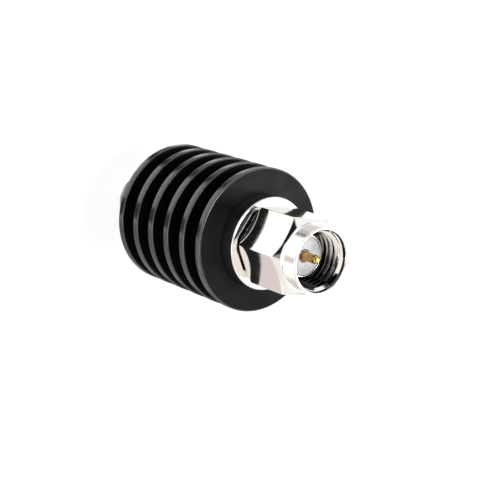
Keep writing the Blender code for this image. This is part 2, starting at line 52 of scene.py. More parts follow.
MM = 0.001
FULL_TURN = 2.0 * math.pi
SIXTH_TURN = math.pi / 3.0
WELD = 2e-8
SMOOTH_ANGLE = math.radians(40.0)
EDGE_LAYER = "edge"
ROUND_STEPS = 4
TANGENT_SHARE = 0.45
FINE_COLUMNS = 192
BODY_COLUMNS = 160
CONTACT_COLUMNS = 64
CREST_EDGE_START = 0.9
CREST_EDGE_GAIN = 5.0

Colour = tuple[float, float, float]
Direction = tuple[float, float, float]
Socket = bpy.types.NodeSocket

WHITE: Colour = (1.0, 1.0, 1.0)
NEAR_BLACK: Colour = (0.012, 0.012, 0.014)


class Body(Enum):
    """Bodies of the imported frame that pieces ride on."""

    ATTENUATOR = "attenuator_body"
    NUT = "nut"


class Slot(Enum):
    """Material slots of the record."""

    BLACK = "black_anodised"
    NICKEL = "bright_nickel"
    BRONZE = "spring_bronze"
    INSULATOR = "white_insulator"
    GOLD = "gold_plate"
    BEAD = "tan_bead"
    CERAMIC = "white_ceramic"


class ThreadForm(Enum):
    """Levels of a screw thread over one pitch, as (share of the pitch, share of the depth)."""

    OUTSIDE = (
        (0.0, 0.93), (0.03, 1.0), (0.095, 1.0), (0.125, 0.93), (0.2, 0.69), (0.28, 0.44),
        (0.36, 0.19), (0.415, 0.05), (0.455, 0.0), (0.67, 0.0), (0.71, 0.05), (0.765, 0.19),
        (0.845, 0.44), (0.925, 0.69),
    )
    INSIDE = (
        (0.0, 0.94), (0.03, 1.0), (0.19, 1.0), (0.22, 0.94), (0.3, 0.69), (0.38, 0.44),
        (0.46, 0.19), (0.51, 0.05), (0.55, 0.0), (0.67, 0.0), (0.71, 0.05), (0.76, 0.19),
        (0.84, 0.44), (0.92, 0.69),
    )


class SectionPoint(NamedTuple):
    """Point of a section, with its share of a rounded outer edge."""

    radius: float
    height: float
    edge: float = 0.0


class Corner(NamedTuple):
    """Corner of a section before its rounding."""

    radius: float
    height: float
    rounding: float = 0.0


def corner_arc(here: Vector, before: Vector, after: Vector, rounding: float,
               is_outer: bool) -> list[SectionPoint]:
    """Rounds one corner of a section.

    Args:
        here: The corner, as (radius, height).
        before: From the corner to the one before it.
        after: From the corner to the next one.
        rounding: Wanted radius, kept only where the sides are long enough.
        is_outer: Whether the corner stands out of the piece, where it can wear.

    Returns:
        The arc's points, from the side before to the side after.
    """
    opening = before.angle(after)
    longest = TANGENT_SHARE * min(before.length, after.length)
    tangent = min(rounding / math.tan(opening / 2.0), longest)
    radius = tangent * math.tan(opening / 2.0)
    middle = (before.normalized() + after.normalized()).normalized()
    centre = here + middle * (radius / math.sin(opening / 2.0))
    start = here + before.normalized() * tangent - centre
    end = here + after.normalized() * tangent - centre
    sweep = math.pi - opening
    points = []
    for step in range(ROUND_STEPS + 1):
        share = step / ROUND_STEPS
        spoke = (start * math.sin((1.0 - share) * sweep) + end * math.sin(share * sweep)) / math.sin(sweep)
        edge = math.sin(math.pi * share) if is_outer else 0.0
        points.append(SectionPoint(centre.x + spoke.x, centre.y + spoke.y, edge))
    return points


def rounded_section(corners: Sequence[Corner], is_closed: bool = True) -> list[SectionPoint]:
    """Rounds the corners of a section.

    Args:
        corners: Corners in order, in either sense of rotation.
        is_closed: Whether the last corner joins the first.

    Returns:
        The section's points, the same number for the same number of corners.
    """
    places = [Vector((corner.radius, corner.height)) for corner in corners]
    area = sum(a.cross(b) for a, b in zip(places, places[1:] + places[:1]))
    points: list[SectionPoint] = []
    for index, corner in enumerate(corners):
        is_end = not is_closed and index in (0, len(corners) - 1)
        if corner.rounding <= 0.0 or is_end:
            points.append(SectionPoint(corner.radius, corner.height))
            continue
        here = places[index]
        before = places[index - 1] - here
        after = places[(index + 1) % len(places)] - here
        is_outer = after.cross(before) * area > 0.0
        points += corner_arc(here, before, after, corner.rounding, is_outer)
    return points


def even_angles(count: int) -> list[float]:
    """Angles of one full turn in equal steps, with both ends."""
    return [FULL_TURN * index / count for index in range(count + 1)]


def towards(azimuth: float) -> Direction:
    """Level direction at an azimuth in degrees."""
    turn = math.radians(azimuth)
    return (math.cos(turn), math.sin(turn), 0.0)


def placed(name: str, data: bpy.types.ID) -> bpy.types.Object:
    """Links a new object to the scene.

    Args:
        name: Name of the object.
        data: Mesh, lamp or camera that it holds.

    Returns:
        The object.
    """
    item = bpy.data.objects.new(name, data)
    bpy.context.scene.collection.objects.link(item)
    return item


def mesh_data(name: str, mesh: bmesh.types.BMesh) -> bpy.types.Mesh:
    """Ends the work on a mesh.

    Args:
        name: Name of its data.
        mesh: The mesh, which is freed.

    Returns:
        The data.
    """
    data = bpy.data.meshes.new(name)
    mesh.to_mesh(data)
    mesh.free()
    return data


class RoundMesh:
    """Welds columns of section points around Z into one mesh."""

    def __init__(self, name: str, angles: Sequence[float]) -> None:
        """Starts an empty mesh.

        Args:
            name: Name of the finished piece.
            angles: Angles of the columns over one full turn, with both ends.
        """
        self.name = name
        self.angles = angles
        self.mesh = bmesh.new()
        self.edge = self.mesh.verts.layers.float.new(EDGE_LAYER)

    def add(self, column_at: Callable[[float], Sequence[SectionPoint]], is_closed: bool) -> None:
        """Adds one surface.

        Args:
            column_at: Gives the section at an angle, always with the same number of points.
            is_closed: Whether each section's last point joins its first.
        """
        previous: list[bmesh.types.BMVert] = []
        for angle in self.angles:
            column = [self._vertex(angle, point) for point in column_at(angle)]
            if previous:
                self._bridge(previous, column, is_closed)
            previous = column

    def _vertex(self, angle: float, point: SectionPoint) -> bmesh.types.BMVert:
        """Adds a vertex at a section point turned by an angle."""
        place = (point.radius * math.cos(angle), point.radius * math.sin(angle), point.height)
        vertex = self.mesh.verts.new(place)
        vertex[self.edge] = point.edge
        return vertex

    def _bridge(self, left: list[bmesh.types.BMVert], right: list[bmesh.types.BMVert],
                is_closed: bool) -> None:
        """Joins two neighbouring columns with faces."""
        count = len(left)
        for index in range(count if is_closed else count - 1):
            following = (index + 1) % count
            self.mesh.faces.new((left[index], right[index], right[following], left[following]))

    def finish(self) -> bpy.types.Object:
        """Welds the seams.

        Returns:
            The finished piece, linked to the scene.
        """
        bmesh.ops.remove_doubles(self.mesh, verts=self.mesh.verts, dist=WELD)
        loose = [vertex for vertex in self.mesh.verts if not vertex.link_faces]
        bmesh.ops.delete(self.mesh, geom=loose, context="VERTS")
        bmesh.ops.recalc_face_normals(self.mesh, faces=self.mesh.faces)
        return shaded_piece(self.name, mesh_data(self.name, self.mesh))


def shaded_piece(name: str, data: bpy.types.Mesh) -> bpy.types.Object:
    """Links a mesh as a smooth piece whose large faces keep their own normals.

    Args:
        name: Name of the piece.
        data: Its mesh.

    Returns:
        The new object.
    """
    data.shade_smooth()
    data.set_sharp_from_angle(angle=SMOOTH_ANGLE)
    item = placed(name, data)
    shading = item.modifiers.new("even_shading", "WEIGHTED_NORMAL")
    shading.keep_sharp = True
    return item


def turned_piece(name: str, corners: Sequence[Corner], columns: int,
                 is_closed: bool = True) -> bpy.types.Object:
    """Turns a rounded section once around Z.

    Args:
        name: Name of the piece.
        corners: Corners of the section.
        columns: Number of columns in a full turn.
        is_closed: Whether the section is a loop; otherwise it starts and ends on the axis.

    Returns:
        The finished piece.
    """
    section = rounded_section(corners, is_closed)
    mesh = RoundMesh(name, even_angles(columns))
    mesh.add(lambda angle: section, is_closed)
    return mesh.finish()


@dataclass(frozen=True)
class ScrewThread:
    """Right-hand screw thread whose rows follow its helix between two cones.

    Attributes:
        form: Levels over one pitch.
        crest: Radius of the crests.
        root: Radius of the roots, and of both ends.
        start: Height of its lower end.
        end: Height of its upper end.
        start_cone: Height over which the lower end grows from root to crest.
        end_cone: The same at the upper end.
        pitch: Height of one turn.
    """

    form: ThreadForm
    crest: float
    root: float
    start: float
    end: float
    start_cone: float
    end_cone: float
    pitch: float = 25.4 / 36.0 * MM

    def column(self, angle: float) -> list[SectionPoint]:
        """Gives the thread's section at an angle.

        Args:
            angle: Angle around Z.

        Returns:
            Points from the lower to the upper end; rows outside the ends lie on them.
        """
        turns = math.ceil((self.end - self.start) / self.pitch) + 1
        points = [SectionPoint(self.root, self.start)]
        for turn in range(turns):
            for share, level in self.form.value:
                rise = turn - 1.0 + share + angle / FULL_TURN
                points.append(self._point(self.start + rise * self.pitch, level))
        points.append(SectionPoint(self.root, self.end))
        return points

    def _point(self, height: float, level: float) -> SectionPoint:
        """Places one row of the thread between the end cones."""
        height = min(max(height, self.start), self.end)
        below = (height - self.start) / self.start_cone
        above = (self.end - height) / self.end_cone
        level = min(level, below, above)
        edge = max(0.0, level - CREST_EDGE_START) * CREST_EDGE_GAIN
        return SectionPoint(self.root + (self.crest - self.root) * level, height, edge)


@dataclass(frozen=True)
class Datum:
    """Radii and heights that neighbouring pieces share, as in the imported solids."""

    insulator_bore: float = 2.09 * MM
    spigot: float = 2.32 * MM
    counterbore: float = 2.36 * MM
    neck: float = 2.60 * MM
    bead_seat: float = 2.64 * MM
    shank: float = 3.44 * MM
    sink_bore: float = 4.34 * MM
    flange: float = 5.00 * MM
    thread_root: float = 3.20 * MM
    thread_core: float = 2.80 * MM
    flange_thickness: float = 1.75 * MM
    bead_depth: float = 3.06 * MM
    shank_length: float = 3.20 * MM
    jack_shoulder: float = 5.60 * MM
    sink_rear: float = 7.38 * MM
    plug_seat: float = 22.675 * MM
    neck_end: float = 27.835 * MM
    reference_plane: float = 30.185 * MM
    counterbore_depth: float = 1.91 * MM
    insulator_recess: float = 0.08 * MM
    contact: float = 0.635 * MM
    pin: float = 0.47 * MM
    flange_rounding: float = 0.16 * MM
    small_rounding: float = 0.06 * MM

    @property
    def plug_shank_end(self) -> float:
        """Height of the inner end of the plug's shank."""
        return self.plug_seat - self.shank_length

    @property
    def plug_face(self) -> float:
        """Height of the face of the plug's insulator."""
        return self.reference_plane - self.insulator_recess

    @property
    def jack_seat(self) -> float:
        """Height of the jack flange's inner face."""
        return self.jack_shoulder + self.flange_thickness

    @property
    def jack_shank_end(self) -> float:
        """Height of the inner end of the jack's shank."""
        return self.jack_seat + self.shank_length

    @property
    def jack_face(self) -> float:
        """Height of the face of the jack's insulator."""
        return self.counterbore_depth + self.insulator_recess


DATUM = Datum()


class NodeKit:
    """Adds nodes to a shader tree and links them."""

    def __init__(self, tree: bpy.types.NodeTree) -> None:
        """Works on one tree."""
        self.tree = tree

    def node(self, kind: str, values: dict | None = None, **settings: object) -> bpy.types.Node:
        """Adds a node.

        Args:
            kind: Blender's name of the node type.
            values: Input socket names or numbers, with the value or socket that feeds each.
            settings: The node's own options.

        Returns:
            The new node.
        """
        node = self.tree.nodes.new(kind)
        for key, setting in settings.items():
            setattr(node, key, setting)
        for key, value in (values or {}).items():
            self.feed(node.inputs[key], value)
        return node

    def feed(self, socket: Socket, value: object) -> None:
        """Links a socket to another, or sets its plain value."""
        if isinstance(value, Socket):
            self.tree.links.new(value, socket)
        else:
            socket.default_value = value

    def math(self, operation: str, *values: object) -> Socket:
        """Result of a math operation on up to three values."""
        return self.node("ShaderNodeMath", dict(enumerate(values)), operation=operation).outputs[0]

    def product(self, *values: object) -> Socket:
        """Product of two values or more."""
        return functools.reduce(functools.partial(self.math, "MULTIPLY"), values)

    def total(self, *values: object) -> Socket:
        """Sum of two values or more."""
        return functools.reduce(functools.partial(self.math, "ADD"), values)

    def vector_math(self, operation: str, *values: object) -> bpy.types.Node:
        """Node of a vector operation on up to two values."""
        return self.node("ShaderNodeVectorMath", dict(enumerate(values)), operation=operation)

    def length(self, vector: object) -> Socket:
        """Length of a vector."""
        return self.vector_math("LENGTH", vector).outputs["Value"]

    def levelled(self, position: object) -> tuple[Socket, Socket]:
        """Splits a position.

        Args:
            position: The position.

        Returns:
            Its part across Z, as a vector, and its height.
        """
        parts = self.node("ShaderNodeSeparateXYZ", {0: position}).outputs
        across = self.node("ShaderNodeCombineXYZ", {0: parts[0], 1: parts[1], 2: 0.0})
        return across.outputs[0], parts[2]

    def remap(self, value: object, low: object, high: object, to_low: object = 0.0,
              to_high: object = 1.0) -> Socket:
        """Smooth step of a value.

        Args:
            value: The value.
            low: Where the step starts.
            high: Where it ends.
            to_low: Result up to low.
            to_high: Result from high on.

        Returns:
            The stepped value.
        """
        values = {"Value": value, "From Min": low, "From Max": high, "To Min": to_low, "To Max": to_high}
        node = self.node("ShaderNodeMapRange", values, interpolation_type="SMOOTHSTEP")
        return node.outputs["Result"]

    def mix_colour(self, factor: object, first: object, second: object, blend: str = "MIX") -> Socket:
        """Blend of two colours."""
        values = {0: factor, 6: rgba(first), 7: rgba(second)}
        return self.node("ShaderNodeMix", values, data_type="RGBA", blend_type=blend).outputs[2]

    def noise(self, position: object, scale: object, detail: float = 2.0) -> Socket:
        """Cloudy value from 0 to 1 at a position."""
        values = {"Vector": position, "Scale": scale, "Detail": detail}
        return self.node("ShaderNodeTexNoise", values).outputs[0]

    def ray(self, kind: str) -> Socket:
        """Whether light is followed by a ray of this kind."""
        return self.node("ShaderNodeLightPath").outputs[f"Is {kind} Ray"]

    def seen(self) -> Socket:
        """Whether the camera sees this directly, in a mirror or through glass."""
        direct = self.math("MAXIMUM", self.ray("Camera"), self.ray("Glossy"))
        return self.math("MAXIMUM", direct, self.ray("Transmission"))

    def group(self, tree: bpy.types.NodeTree, **values: object) -> bpy.types.Node:
        """Places a shader group, with its inputs given by name."""
        node = self.node("ShaderNodeGroup", None, node_tree=tree)
        for key, value in values.items():
            self.feed(node.inputs[key], value)
        return node


def rgba(colour: object) -> object:
    """Adds full opacity to a plain colour and leaves a socket as it is."""
    return (*colour, 1.0) if isinstance(colour, tuple) and len(colour) == 3 else colour


class SocketKind(Enum):
    """Kinds of sockets on shader groups."""

    VALUE = "NodeSocketFloat"
    VECTOR = "NodeSocketVector"


class EffectGroups:
    """Surface effects that several finishes share, each one node group.

    Attributes:
        WAVER_SCALE: How often lathe rings waver, per metre.
        WAVER_HEIGHT: How far they waver.
        FINER: How much finer the second grain is than the first.
        FINER_SHARE: Its share.
        WORN_EDGE: Share of an edge's rounding where wear starts and where it is full.
        WORN_PATCH: Noise level where a worn patch starts and where it is full.
        EMPTY_CELLS: Share of the cells that hold no dust speck.
    """

    WAVER_SCALE = 0.12 / MM
    WAVER_HEIGHT = 0.03 * MM
    FINER = 3.1
    FINER_SHARE = 0.4
    WORN_EDGE = (0.25, 0.95)
    WORN_PATCH = (0.35, 0.7)
    EMPTY_CELLS = 0.8

    def __init__(self) -> None:
        """Builds every group once."""
        self.turning = self._turning()
        self.grain = self._grain()
        self.wear = self._wear()
        self.specks = self._specks()
        self.card = self._card()
        self.band = self._band()

    @staticmethod
    def _start(name: str, output: str, vectors: Sequence[str],
               values: Sequence[str]) -> tuple[NodeKit, bpy.types.NodeOutputs, Socket]:
        """Starts a group.

        Args:
            name: Name of the group.
            output: Its one output value.
            vectors: Its vector inputs.
            values: Its number inputs.
        """
        tree = bpy.data.node_groups.new(name, "ShaderNodeTree")
        kinds = {**dict.fromkeys(vectors, SocketKind.VECTOR), **dict.fromkeys(values, SocketKind.VALUE)}
        for socket, kind in kinds.items():
            tree.interface.new_socket(name=socket, in_out="INPUT", socket_type=kind.value)
        tree.interface.new_socket(name=output, in_out="OUTPUT", socket_type=SocketKind.VALUE.value)
        kit = NodeKit(tree)
        given = kit.node("NodeGroupInput").outputs
        return kit, given, kit.node("NodeGroupOutput").inputs[output]

    def _turning(self) -> bpy.types.NodeTree:
        """Fine rings that a lathe tool leaves, as a height from 0 to 1."""
        kit, given, result = self._start("turning_rings", "Height", ["Position"], ["Spacing"])
        across, height = kit.levelled(given["Position"])
        waver = kit.noise(given["Position"], self.WAVER_SCALE, 1.0)
        radius = kit.math("MULTIPLY_ADD", waver, self.WAVER_HEIGHT, kit.length(across))
        section = kit.node("ShaderNodeCombineXYZ", {0: radius, 1: height, 2: 0.0}).outputs[0]
        kit.feed(result, kit.noise(section, kit.math("DIVIDE", 1.0, given["Spacing"]), 3.0))
        return kit.tree

    def _grain(self) -> bpy.types.NodeTree:
        """Even fine grain, as a height from 0 to 1."""
        kit, given, result = self._start("fine_grain", "Height", ["Position"], ["Size"])
        scale = kit.math("DIVIDE", 1.0, given["Size"])
        coarse = kit.noise(given["Position"], scale, 4.0)
        fine = kit.noise(given["Position"], kit.product(scale, self.FINER))
        kit.feed(result, kit.math("MULTIPLY_ADD", fine, self.FINER_SHARE, coarse))
        return kit.tree

    def _wear(self) -> bpy.types.NodeTree:
        """Broken wear along rounded outer edges, as a mask."""
        kit, given, result = self._start("edge_wear", "Mask", ["Position"], ["Patch", "Amount"])
        edge = kit.node("ShaderNodeAttribute", None, attribute_name=EDGE_LAYER).outputs["Fac"]
        cloud = kit.noise(given["Position"], kit.math("DIVIDE", 1.0, given["Patch"]), 4.0)
        worn = kit.remap(edge, *self.WORN_EDGE)
        kit.feed(result, kit.product(worn, kit.remap(cloud, *self.WORN_PATCH), given["Amount"]))
        return kit.tree

    def _specks(self) -> bpy.types.NodeTree:
        """Sparse dust specks, as a mask."""
        kit, given, result = self._start("dust_specks", "Mask", ["Position"], ["Cell", "Speck"])
        values = {"Vector": given["Position"], "Scale": kit.math("DIVIDE", 1.0, given["Cell"])}
        cells = kit.node("ShaderNodeTexVoronoi", values).outputs
        spot = kit.remap(cells["Distance"], kit.math("DIVIDE", given["Speck"], given["Cell"]), 0.0)
        draw = kit.node("ShaderNodeSeparateXYZ", {0: cells["Color"]}).outputs[0]
        kit.feed(result, kit.product(spot, kit.math("GREATER_THAN", draw, self.EMPTY_CELLS)))
        return kit.tree

    def _card(self) -> bpy.types.NodeTree:
        """Round card with a soft edge in a direction of the studio, as a mask."""
        kit, given, result = self._start(
            "soft_card", "Mask", ["Direction", "Centre"], ["Outer", "Inner"])
        facing = kit.vector_math("DOT_PRODUCT", given["Direction"], given["Centre"])
        angle = kit.math("ARCCOSINE", facing.outputs["Value"])
        kit.feed(result, kit.remap(angle, given["Outer"], given["Inner"]))
        return kit.tree

    def _band(self) -> bpy.types.NodeTree:
        """Band of a turned surface between two radii and two heights, as a mask."""
        names = ("Start", "End", "Fade", "Inner", "Outer", "Near", "Far")
        kit, given, result = self._start("turned_band", "Mask", ["Position", "Centre"], names)
        across, height = kit.levelled(given["Position"])
        radius = kit.length(across)
        outward = kit.vector_math("NORMALIZE", across).outputs["Vector"]
        around = kit.group(self.card, Direction=outward, Centre=given["Centre"],
                           Inner=given["Near"], Outer=given["Far"]).outputs[0]
        mask = kit.product(
            kit.math("GREATER_THAN", height, given["Start"]),
            kit.math("GREATER_THAN", radius, given["Inner"]),
            kit.math("LESS_THAN", radius, given["Outer"]),
            kit.remap(height, kit.math("ADD", given["End"], given["Fade"]),
                      kit.math("SUBTRACT", given["End"], given["Fade"])),
            around)
        kit.feed(result, mask)
        return kit.tree


class Band(NamedTuple):
    """Band of a turned surface, as a mask of roughness or of painted shade.

    Attributes:
        inner: Radius that it starts from.
        outer: Radius where it ends.
        start: Height of its lower end.
        end: Height of its upper end.
        fade: Height over which its upper end fades, to each side.
        azimuth: Direction of its middle around Z, in degrees.
        near: Half angle of its even part, in degrees.
        far: Half angle where it ends, in degrees.
        colour: Colour of the painted shade that it lays.
    """

    inner: float
    outer: float
    start: float
    end: float
    fade: float
    azimuth: float = 0.0
    near: float = 180.0
    far: float = 181.0
    colour: Colour = (0.0, 0.0, 0.0)


class Texture(NamedTuple):
    """Fine relief: the spacing of its rings or the size of its grain, and its depth."""

    size: float
    depth: float


class Patches(NamedTuple):
    """Slow change between two values over patches of a size."""

    size: float
    low: float
    high: float


class Wear(NamedTuple):
    """Edge wear: the size of its patches and its strength."""

    patch: float
    amount: float


class Surface:
    PATCH_LEVELS = (0.3, 0.7)

    def __init__(self, name: str, groups: EffectGroups) -> None:
        """Starts a material.

        Args:
            name: Name of the material.
            groups: The shared effects.
        """
        self.material = bpy.data.materials.new(name)
        self.material.use_nodes = True
        self.kit = NodeKit(self.material.node_tree)
        self.shader = self.material.node_tree.nodes["Principled BSDF"]
        self.groups = groups
        self.position = self.kit.node("ShaderNodeTexCoord").outputs["Object"]

    def set(self, **values: object) -> None:
        """Feeds the shader's sockets, named with underscores for spaces."""
        for key, value in values.items():
            self.kit.feed(self.shader.inputs[key.replace("_", " ")], value)

    def radius(self) -> Socket:
        """Distance from the common axis."""
        return self.kit.length(self.kit.levelled(self.position)[0])

    def effect(self, tree: bpy.types.NodeTree, **values: object) -> Socket:
        """Places a shared effect at this surface's positions."""
        return self.kit.group(tree, Position=self.position, **values).outputs[0]

    def band(self, band: Band) -> Socket:
        """Mask of a band."""
        return self.effect(
            self.groups.band, Centre=towards(band.azimuth), Start=band.start, End=band.end, Fade=band.fade,
            Inner=band.inner, Outer=band.outer, Near=math.radians(band.near), Far=math.radians(band.far))

    def with_painted_shade(self, tone: Socket, painted_shade_bands: Sequence[Band]) -> Socket:
        """Lays painted shade over a tone, band by band.

        Args:
            tone: The colour so far.
            painted_shade_bands: Each band of painted shade, over the ones before it.

        Returns:
            The colour with the painted shade.
        """
        for band in painted_shade_bands:
            tone = self.kit.mix_colour(self.band(band), tone, band.colour)
        return tone

    def turning(self, spacing: float) -> Socket:
        """Lathe rings of a given spacing."""
        return self.effect(self.groups.turning, Spacing=spacing)

    def wear(self, wear: Wear) -> Socket:
        """Mask of the edge wear."""
        return self.effect(self.groups.wear, Patch=wear.patch, Amount=wear.amount)

    def clouds(self, patches: Patches) -> Socket:
        """Slow change between two values."""
        cloud = self.kit.noise(self.position, 1.0 / patches.size, 3.0)
        return self.kit.remap(cloud, *self.PATCH_LEVELS, patches.low, patches.high)

    def bump(self, height: Socket, depth: float, below: Socket | None = None) -> Socket:
        """Adds relief.

        Args:
            height: Height from 0 to 1.
            depth: Depth of the relief.
            below: Normal of coarser relief under it, if any.

        Returns:
            The resulting normal.
        """
        values = {"Height": height, "Distance": depth}
        if below is not None:
            values["Normal"] = below
        return self.kit.node("ShaderNodeBump", values).outputs[0]

    def grained(self, grain: Texture, below: Socket | None = None) -> Socket:
        """Normal of fine grain, over coarser relief if any."""
        return self.bump(self.effect(self.groups.grain, Size=grain.size), grain.depth, below)


@dataclass(frozen=True)
class AnodisedFinish:
    """Satin black anodised aluminium, turned, with faintly worn fin edges and a little dust."""

    colour: Colour = (0.0016, 0.0016, 0.0023)
    faded_colour: Colour = (0.0036, 0.0036, 0.0048)
    fading: Patches = Patches(3.0 * MM, 0.0, 1.0)
    worn_colour: Colour = (0.07, 0.07, 0.08)
    wear: Wear = Wear(0.9 * MM, 0.55)
    dust_colour: Colour = (0.20, 0.20, 0.21)
    dust_cell: float = 1.3 * MM
    dust_size: float = 0.05 * MM
    dust_strength: float = 0.8
    rim_radius: float = 7.70 * MM
    rim_fade: float = 0.06 * MM
    rim_polish: float = 0.06
    rim_coat: float = 0.95
    roughness: Patches = Patches(2.2 * MM, 0.31, 0.40)
    ring_roughness: float = 0.06
    # the front fin's face
    rough_face: Band = Band(4.80 * MM, 8.00 * MM, 22.50 * MM, 23.00 * MM, 0.10 * MM, 245.0, 30.0, 95.0)
    face_roughness: float = 0.20
    rings: Texture = Texture(0.09 * MM, 0.0022 * MM)
    grain: Texture = Texture(0.05 * MM, 0.0016 * MM)

    def build(self, groups: EffectGroups) -> bpy.types.Material:
        """Makes the finish.

        Args:
            groups: The shared effects.

        Returns:
            Its material.
        """
        surface = Surface("black_anodised_finish", groups)
        kit = surface.kit
        rim = kit.remap(surface.radius(), self.rim_radius - self.rim_fade, self.rim_radius)
        dust = surface.effect(groups.specks, Cell=self.dust_cell, Speck=self.dust_size)
        tone = kit.mix_colour(surface.clouds(self.fading), self.colour, self.faded_colour)
        tone = kit.mix_colour(surface.wear(self.wear), tone, self.worn_colour)
        rings = surface.turning(self.rings.size)
        rough = kit.total(
            surface.clouds(self.roughness), kit.product(rings, self.ring_roughness),
            kit.product(rim, -self.rim_polish),
            kit.product(surface.band(self.rough_face), self.face_roughness))
        surface.set(
            Base_Color=kit.mix_colour(kit.product(dust, self.dust_strength), tone, self.dust_colour),
            Roughness=rough,
            IOR=1.45,
            Specular_IOR_Level=0.15,
            Coat_Weight=kit.product(rim, self.rim_coat),
            Coat_Roughness=0.17,
            Coat_IOR=1.8,
            Normal=surface.grained(self.grain, surface.bump(rings, self.rings.depth)),
        )
        return surface.material


@dataclass(frozen=True)
class NickelFinish:
    """Bright nickel plate with faint polishing rings, worn edges and painted shade in parts of the bore.
    """

    colour: Colour = (0.94, 0.925, 0.90)
    shade_colour: Colour = (0.87, 0.845, 0.81)
    shading: Patches = Patches(2.5 * MM, 0.0, 0.35)
    wear: Wear = Wear(0.7 * MM, 0.5)
    worn_roughness: float = 0.12
    # painted shade in the nut's bore, darker deep down and on one side
    painted_shade_bands: tuple[Band, ...] = (
        # painted shade: the nut's thread, darker deep down
        Band(2.76 * MM, 3.22 * MM, 25.50 * MM, 30.70 * MM, 1.20 * MM, colour=(0.24, 0.225, 0.215)),
        # painted shade on its lower side as the camera sees it, up to the lead-in cone
        Band(2.76 * MM, 3.22 * MM, 25.50 * MM, 32.05 * MM, 0.03 * MM, 290.0, 25.0, 112.0,
             (0.036, 0.033, 0.033)),
        # painted shade on the same side of the lead-in cone and of the mouth
        Band(2.90 * MM, 3.22 * MM, 32.02 * MM, 32.36 * MM, 0.03 * MM, 312.0, 12.0, 22.0,
             (0.03, 0.028, 0.028)),
        Band(3.18 * MM, 3.22 * MM, 32.36 * MM, 32.74 * MM, 0.03 * MM, 331.0, 64.0, 70.0,
             (0.12, 0.10, 0.085)),
        # painted shade at the mouth's right end
        Band(3.17 * MM, 3.22 * MM, 32.30 * MM, 32.76 * MM, 0.02 * MM, 17.0, 8.0, 14.0,
             (0.012, 0.012, 0.012)),
    )
    # the jack's thread
    thread: Band = Band(2.62 * MM, 3.40 * MM, -1.0 * MM, 5.20 * MM, 0.1 * MM)
    thread_roughness: float = 0.26
    flats_radius: float = 3.72 * MM
    flats_fade: float = 0.1 * MM
    roughness: Patches = Patches(1.6 * MM, 0.045, 0.085)
    ring_roughness: float = 0.03
    rings: Texture = Texture(0.07 * MM, 0.0005 * MM)
    grain: Texture = Texture(0.25 * MM, 0.0006 * MM)

    def build(self, groups: EffectGroups) -> bpy.types.Material:
        """Makes the finish.

        Args:
            groups: The shared effects.

        Returns:
            Its material.
        """
        surface = Surface("bright_nickel_finish", groups)
        kit = surface.kit
        wear = surface.wear(self.wear)
        rings = surface.turning(self.rings.size)
        tone = kit.mix_colour(surface.clouds(self.shading), self.colour, self.shade_colour)
        turned = kit.remap(surface.radius(), self.flats_radius, self.flats_radius - self.flats_fade)
        relief = surface.bump(kit.product(rings, turned), self.rings.depth)
        surface.set(
            # painted shade of the bore laid over the tone
            Base_Color=surface.with_painted_shade(kit.mix_colour(wear, tone, self.shade_colour), self.painted_shade_bands),
            Metallic=1.0,
            Roughness=kit.total(
                surface.clouds(self.roughness), kit.product(rings, self.ring_roughness),
                kit.product(wear, self.worn_roughness),
                kit.product(surface.band(self.thread), self.thread_roughness)),
            Normal=surface.grained(self.grain, relief),
        )
        return surface.material


@dataclass(frozen=True)
class MetalFinish:
    """Plated or bare metal with turned rings.

    Attributes:
        name: Name of the material.
        colour: Its colour.
        shade_colour: Its colour in duller patches.
        roughness: Its roughness in patches.
        painted_shade_bands: Painted shade, each as a darker band.
        shading: The duller patches.
        wear: Its worn edges.
        rings: Its lathe rings.
        ring_roughness: Roughness that the rings add.
    """

    name: str
    colour: Colour
    shade_colour: Colour
    roughness: Patches
    painted_shade_bands: tuple[Band, ...] = ()
    shading: Patches = Patches(0.8 * MM, 0.0, 0.8)
    wear: Wear = Wear(0.3 * MM, 0.6)
    rings: Texture = Texture(0.05 * MM, 0.0008 * MM)
    ring_roughness: float = 0.05

    def build(self, groups: EffectGroups) -> bpy.types.Material:
        """Makes the finish.

        Args:
            groups: The shared effects.

        Returns:
            Its material.
        """
        surface = Surface(self.name, groups)
        kit = surface.kit
        rings = surface.turning(self.rings.size)
        tone = kit.mix_colour(surface.clouds(self.shading), self.colour, self.shade_colour)
        tone = kit.mix_colour(surface.wear(self.wear), tone, self.shade_colour)
        rough = surface.clouds(self.roughness)
        surface.set(
            # painted shade laid over the tone
            Base_Color=surface.with_painted_shade(tone, self.painted_shade_bands),
            Metallic=1.0,
            Roughness=kit.math("MULTIPLY_ADD", rings, self.ring_roughness, rough),
            Normal=surface.bump(rings, self.rings.depth),
        )
        return surface.material


@dataclass(frozen=True)
class PlasticFinish:
    """Turned plastic: soft machining rings under a waxy or dull skin.

    Attributes:
        name: Name of the material.
        colour: Its colour.
        shade_colour: Its colour in darker patches.
        roughness: Its roughness in patches.
        glow: Share of light that goes into the material.
        ior: Index of refraction.
        shading: The darker patches.
        rings: Its machining rings.
        ring_roughness: Roughness that the rings add.
        grain: Its fine grain.
    """

    name: str
    colour: Colour
    shade_colour: Colour
    roughness: Patches
    glow: float = 0.0
    ior: float = 1.4
    shading: Patches = Patches(1.1 * MM, 0.0, 1.0)
    rings: Texture = Texture(0.11 * MM, 0.004 * MM)
    ring_roughness: float = 0.08
    grain: Texture = Texture(0.12 * MM, 0.002 * MM)

    def build(self, groups: EffectGroups) -> bpy.types.Material:
        """Makes the finish.

        Args:
            groups: The shared effects.

        Returns:
            Its material.
        """
        surface = Surface(self.name, groups)
        kit = surface.kit
        rings = surface.turning(self.rings.size)
        rough = surface.clouds(self.roughness)
        surface.set(
            Base_Color=kit.mix_colour(surface.clouds(self.shading), self.colour, self.shade_colour),
            Roughness=kit.math("MULTIPLY_ADD", rings, self.ring_roughness, rough),
            IOR=self.ior,
            Subsurface_Weight=self.glow,
            Subsurface_Radius=(1.0, 0.95, 0.9),
            Subsurface_Scale=0.25 * MM,
            Normal=surface.grained(self.grain, surface.bump(rings, self.rings.depth)),
        )
        return surface.material


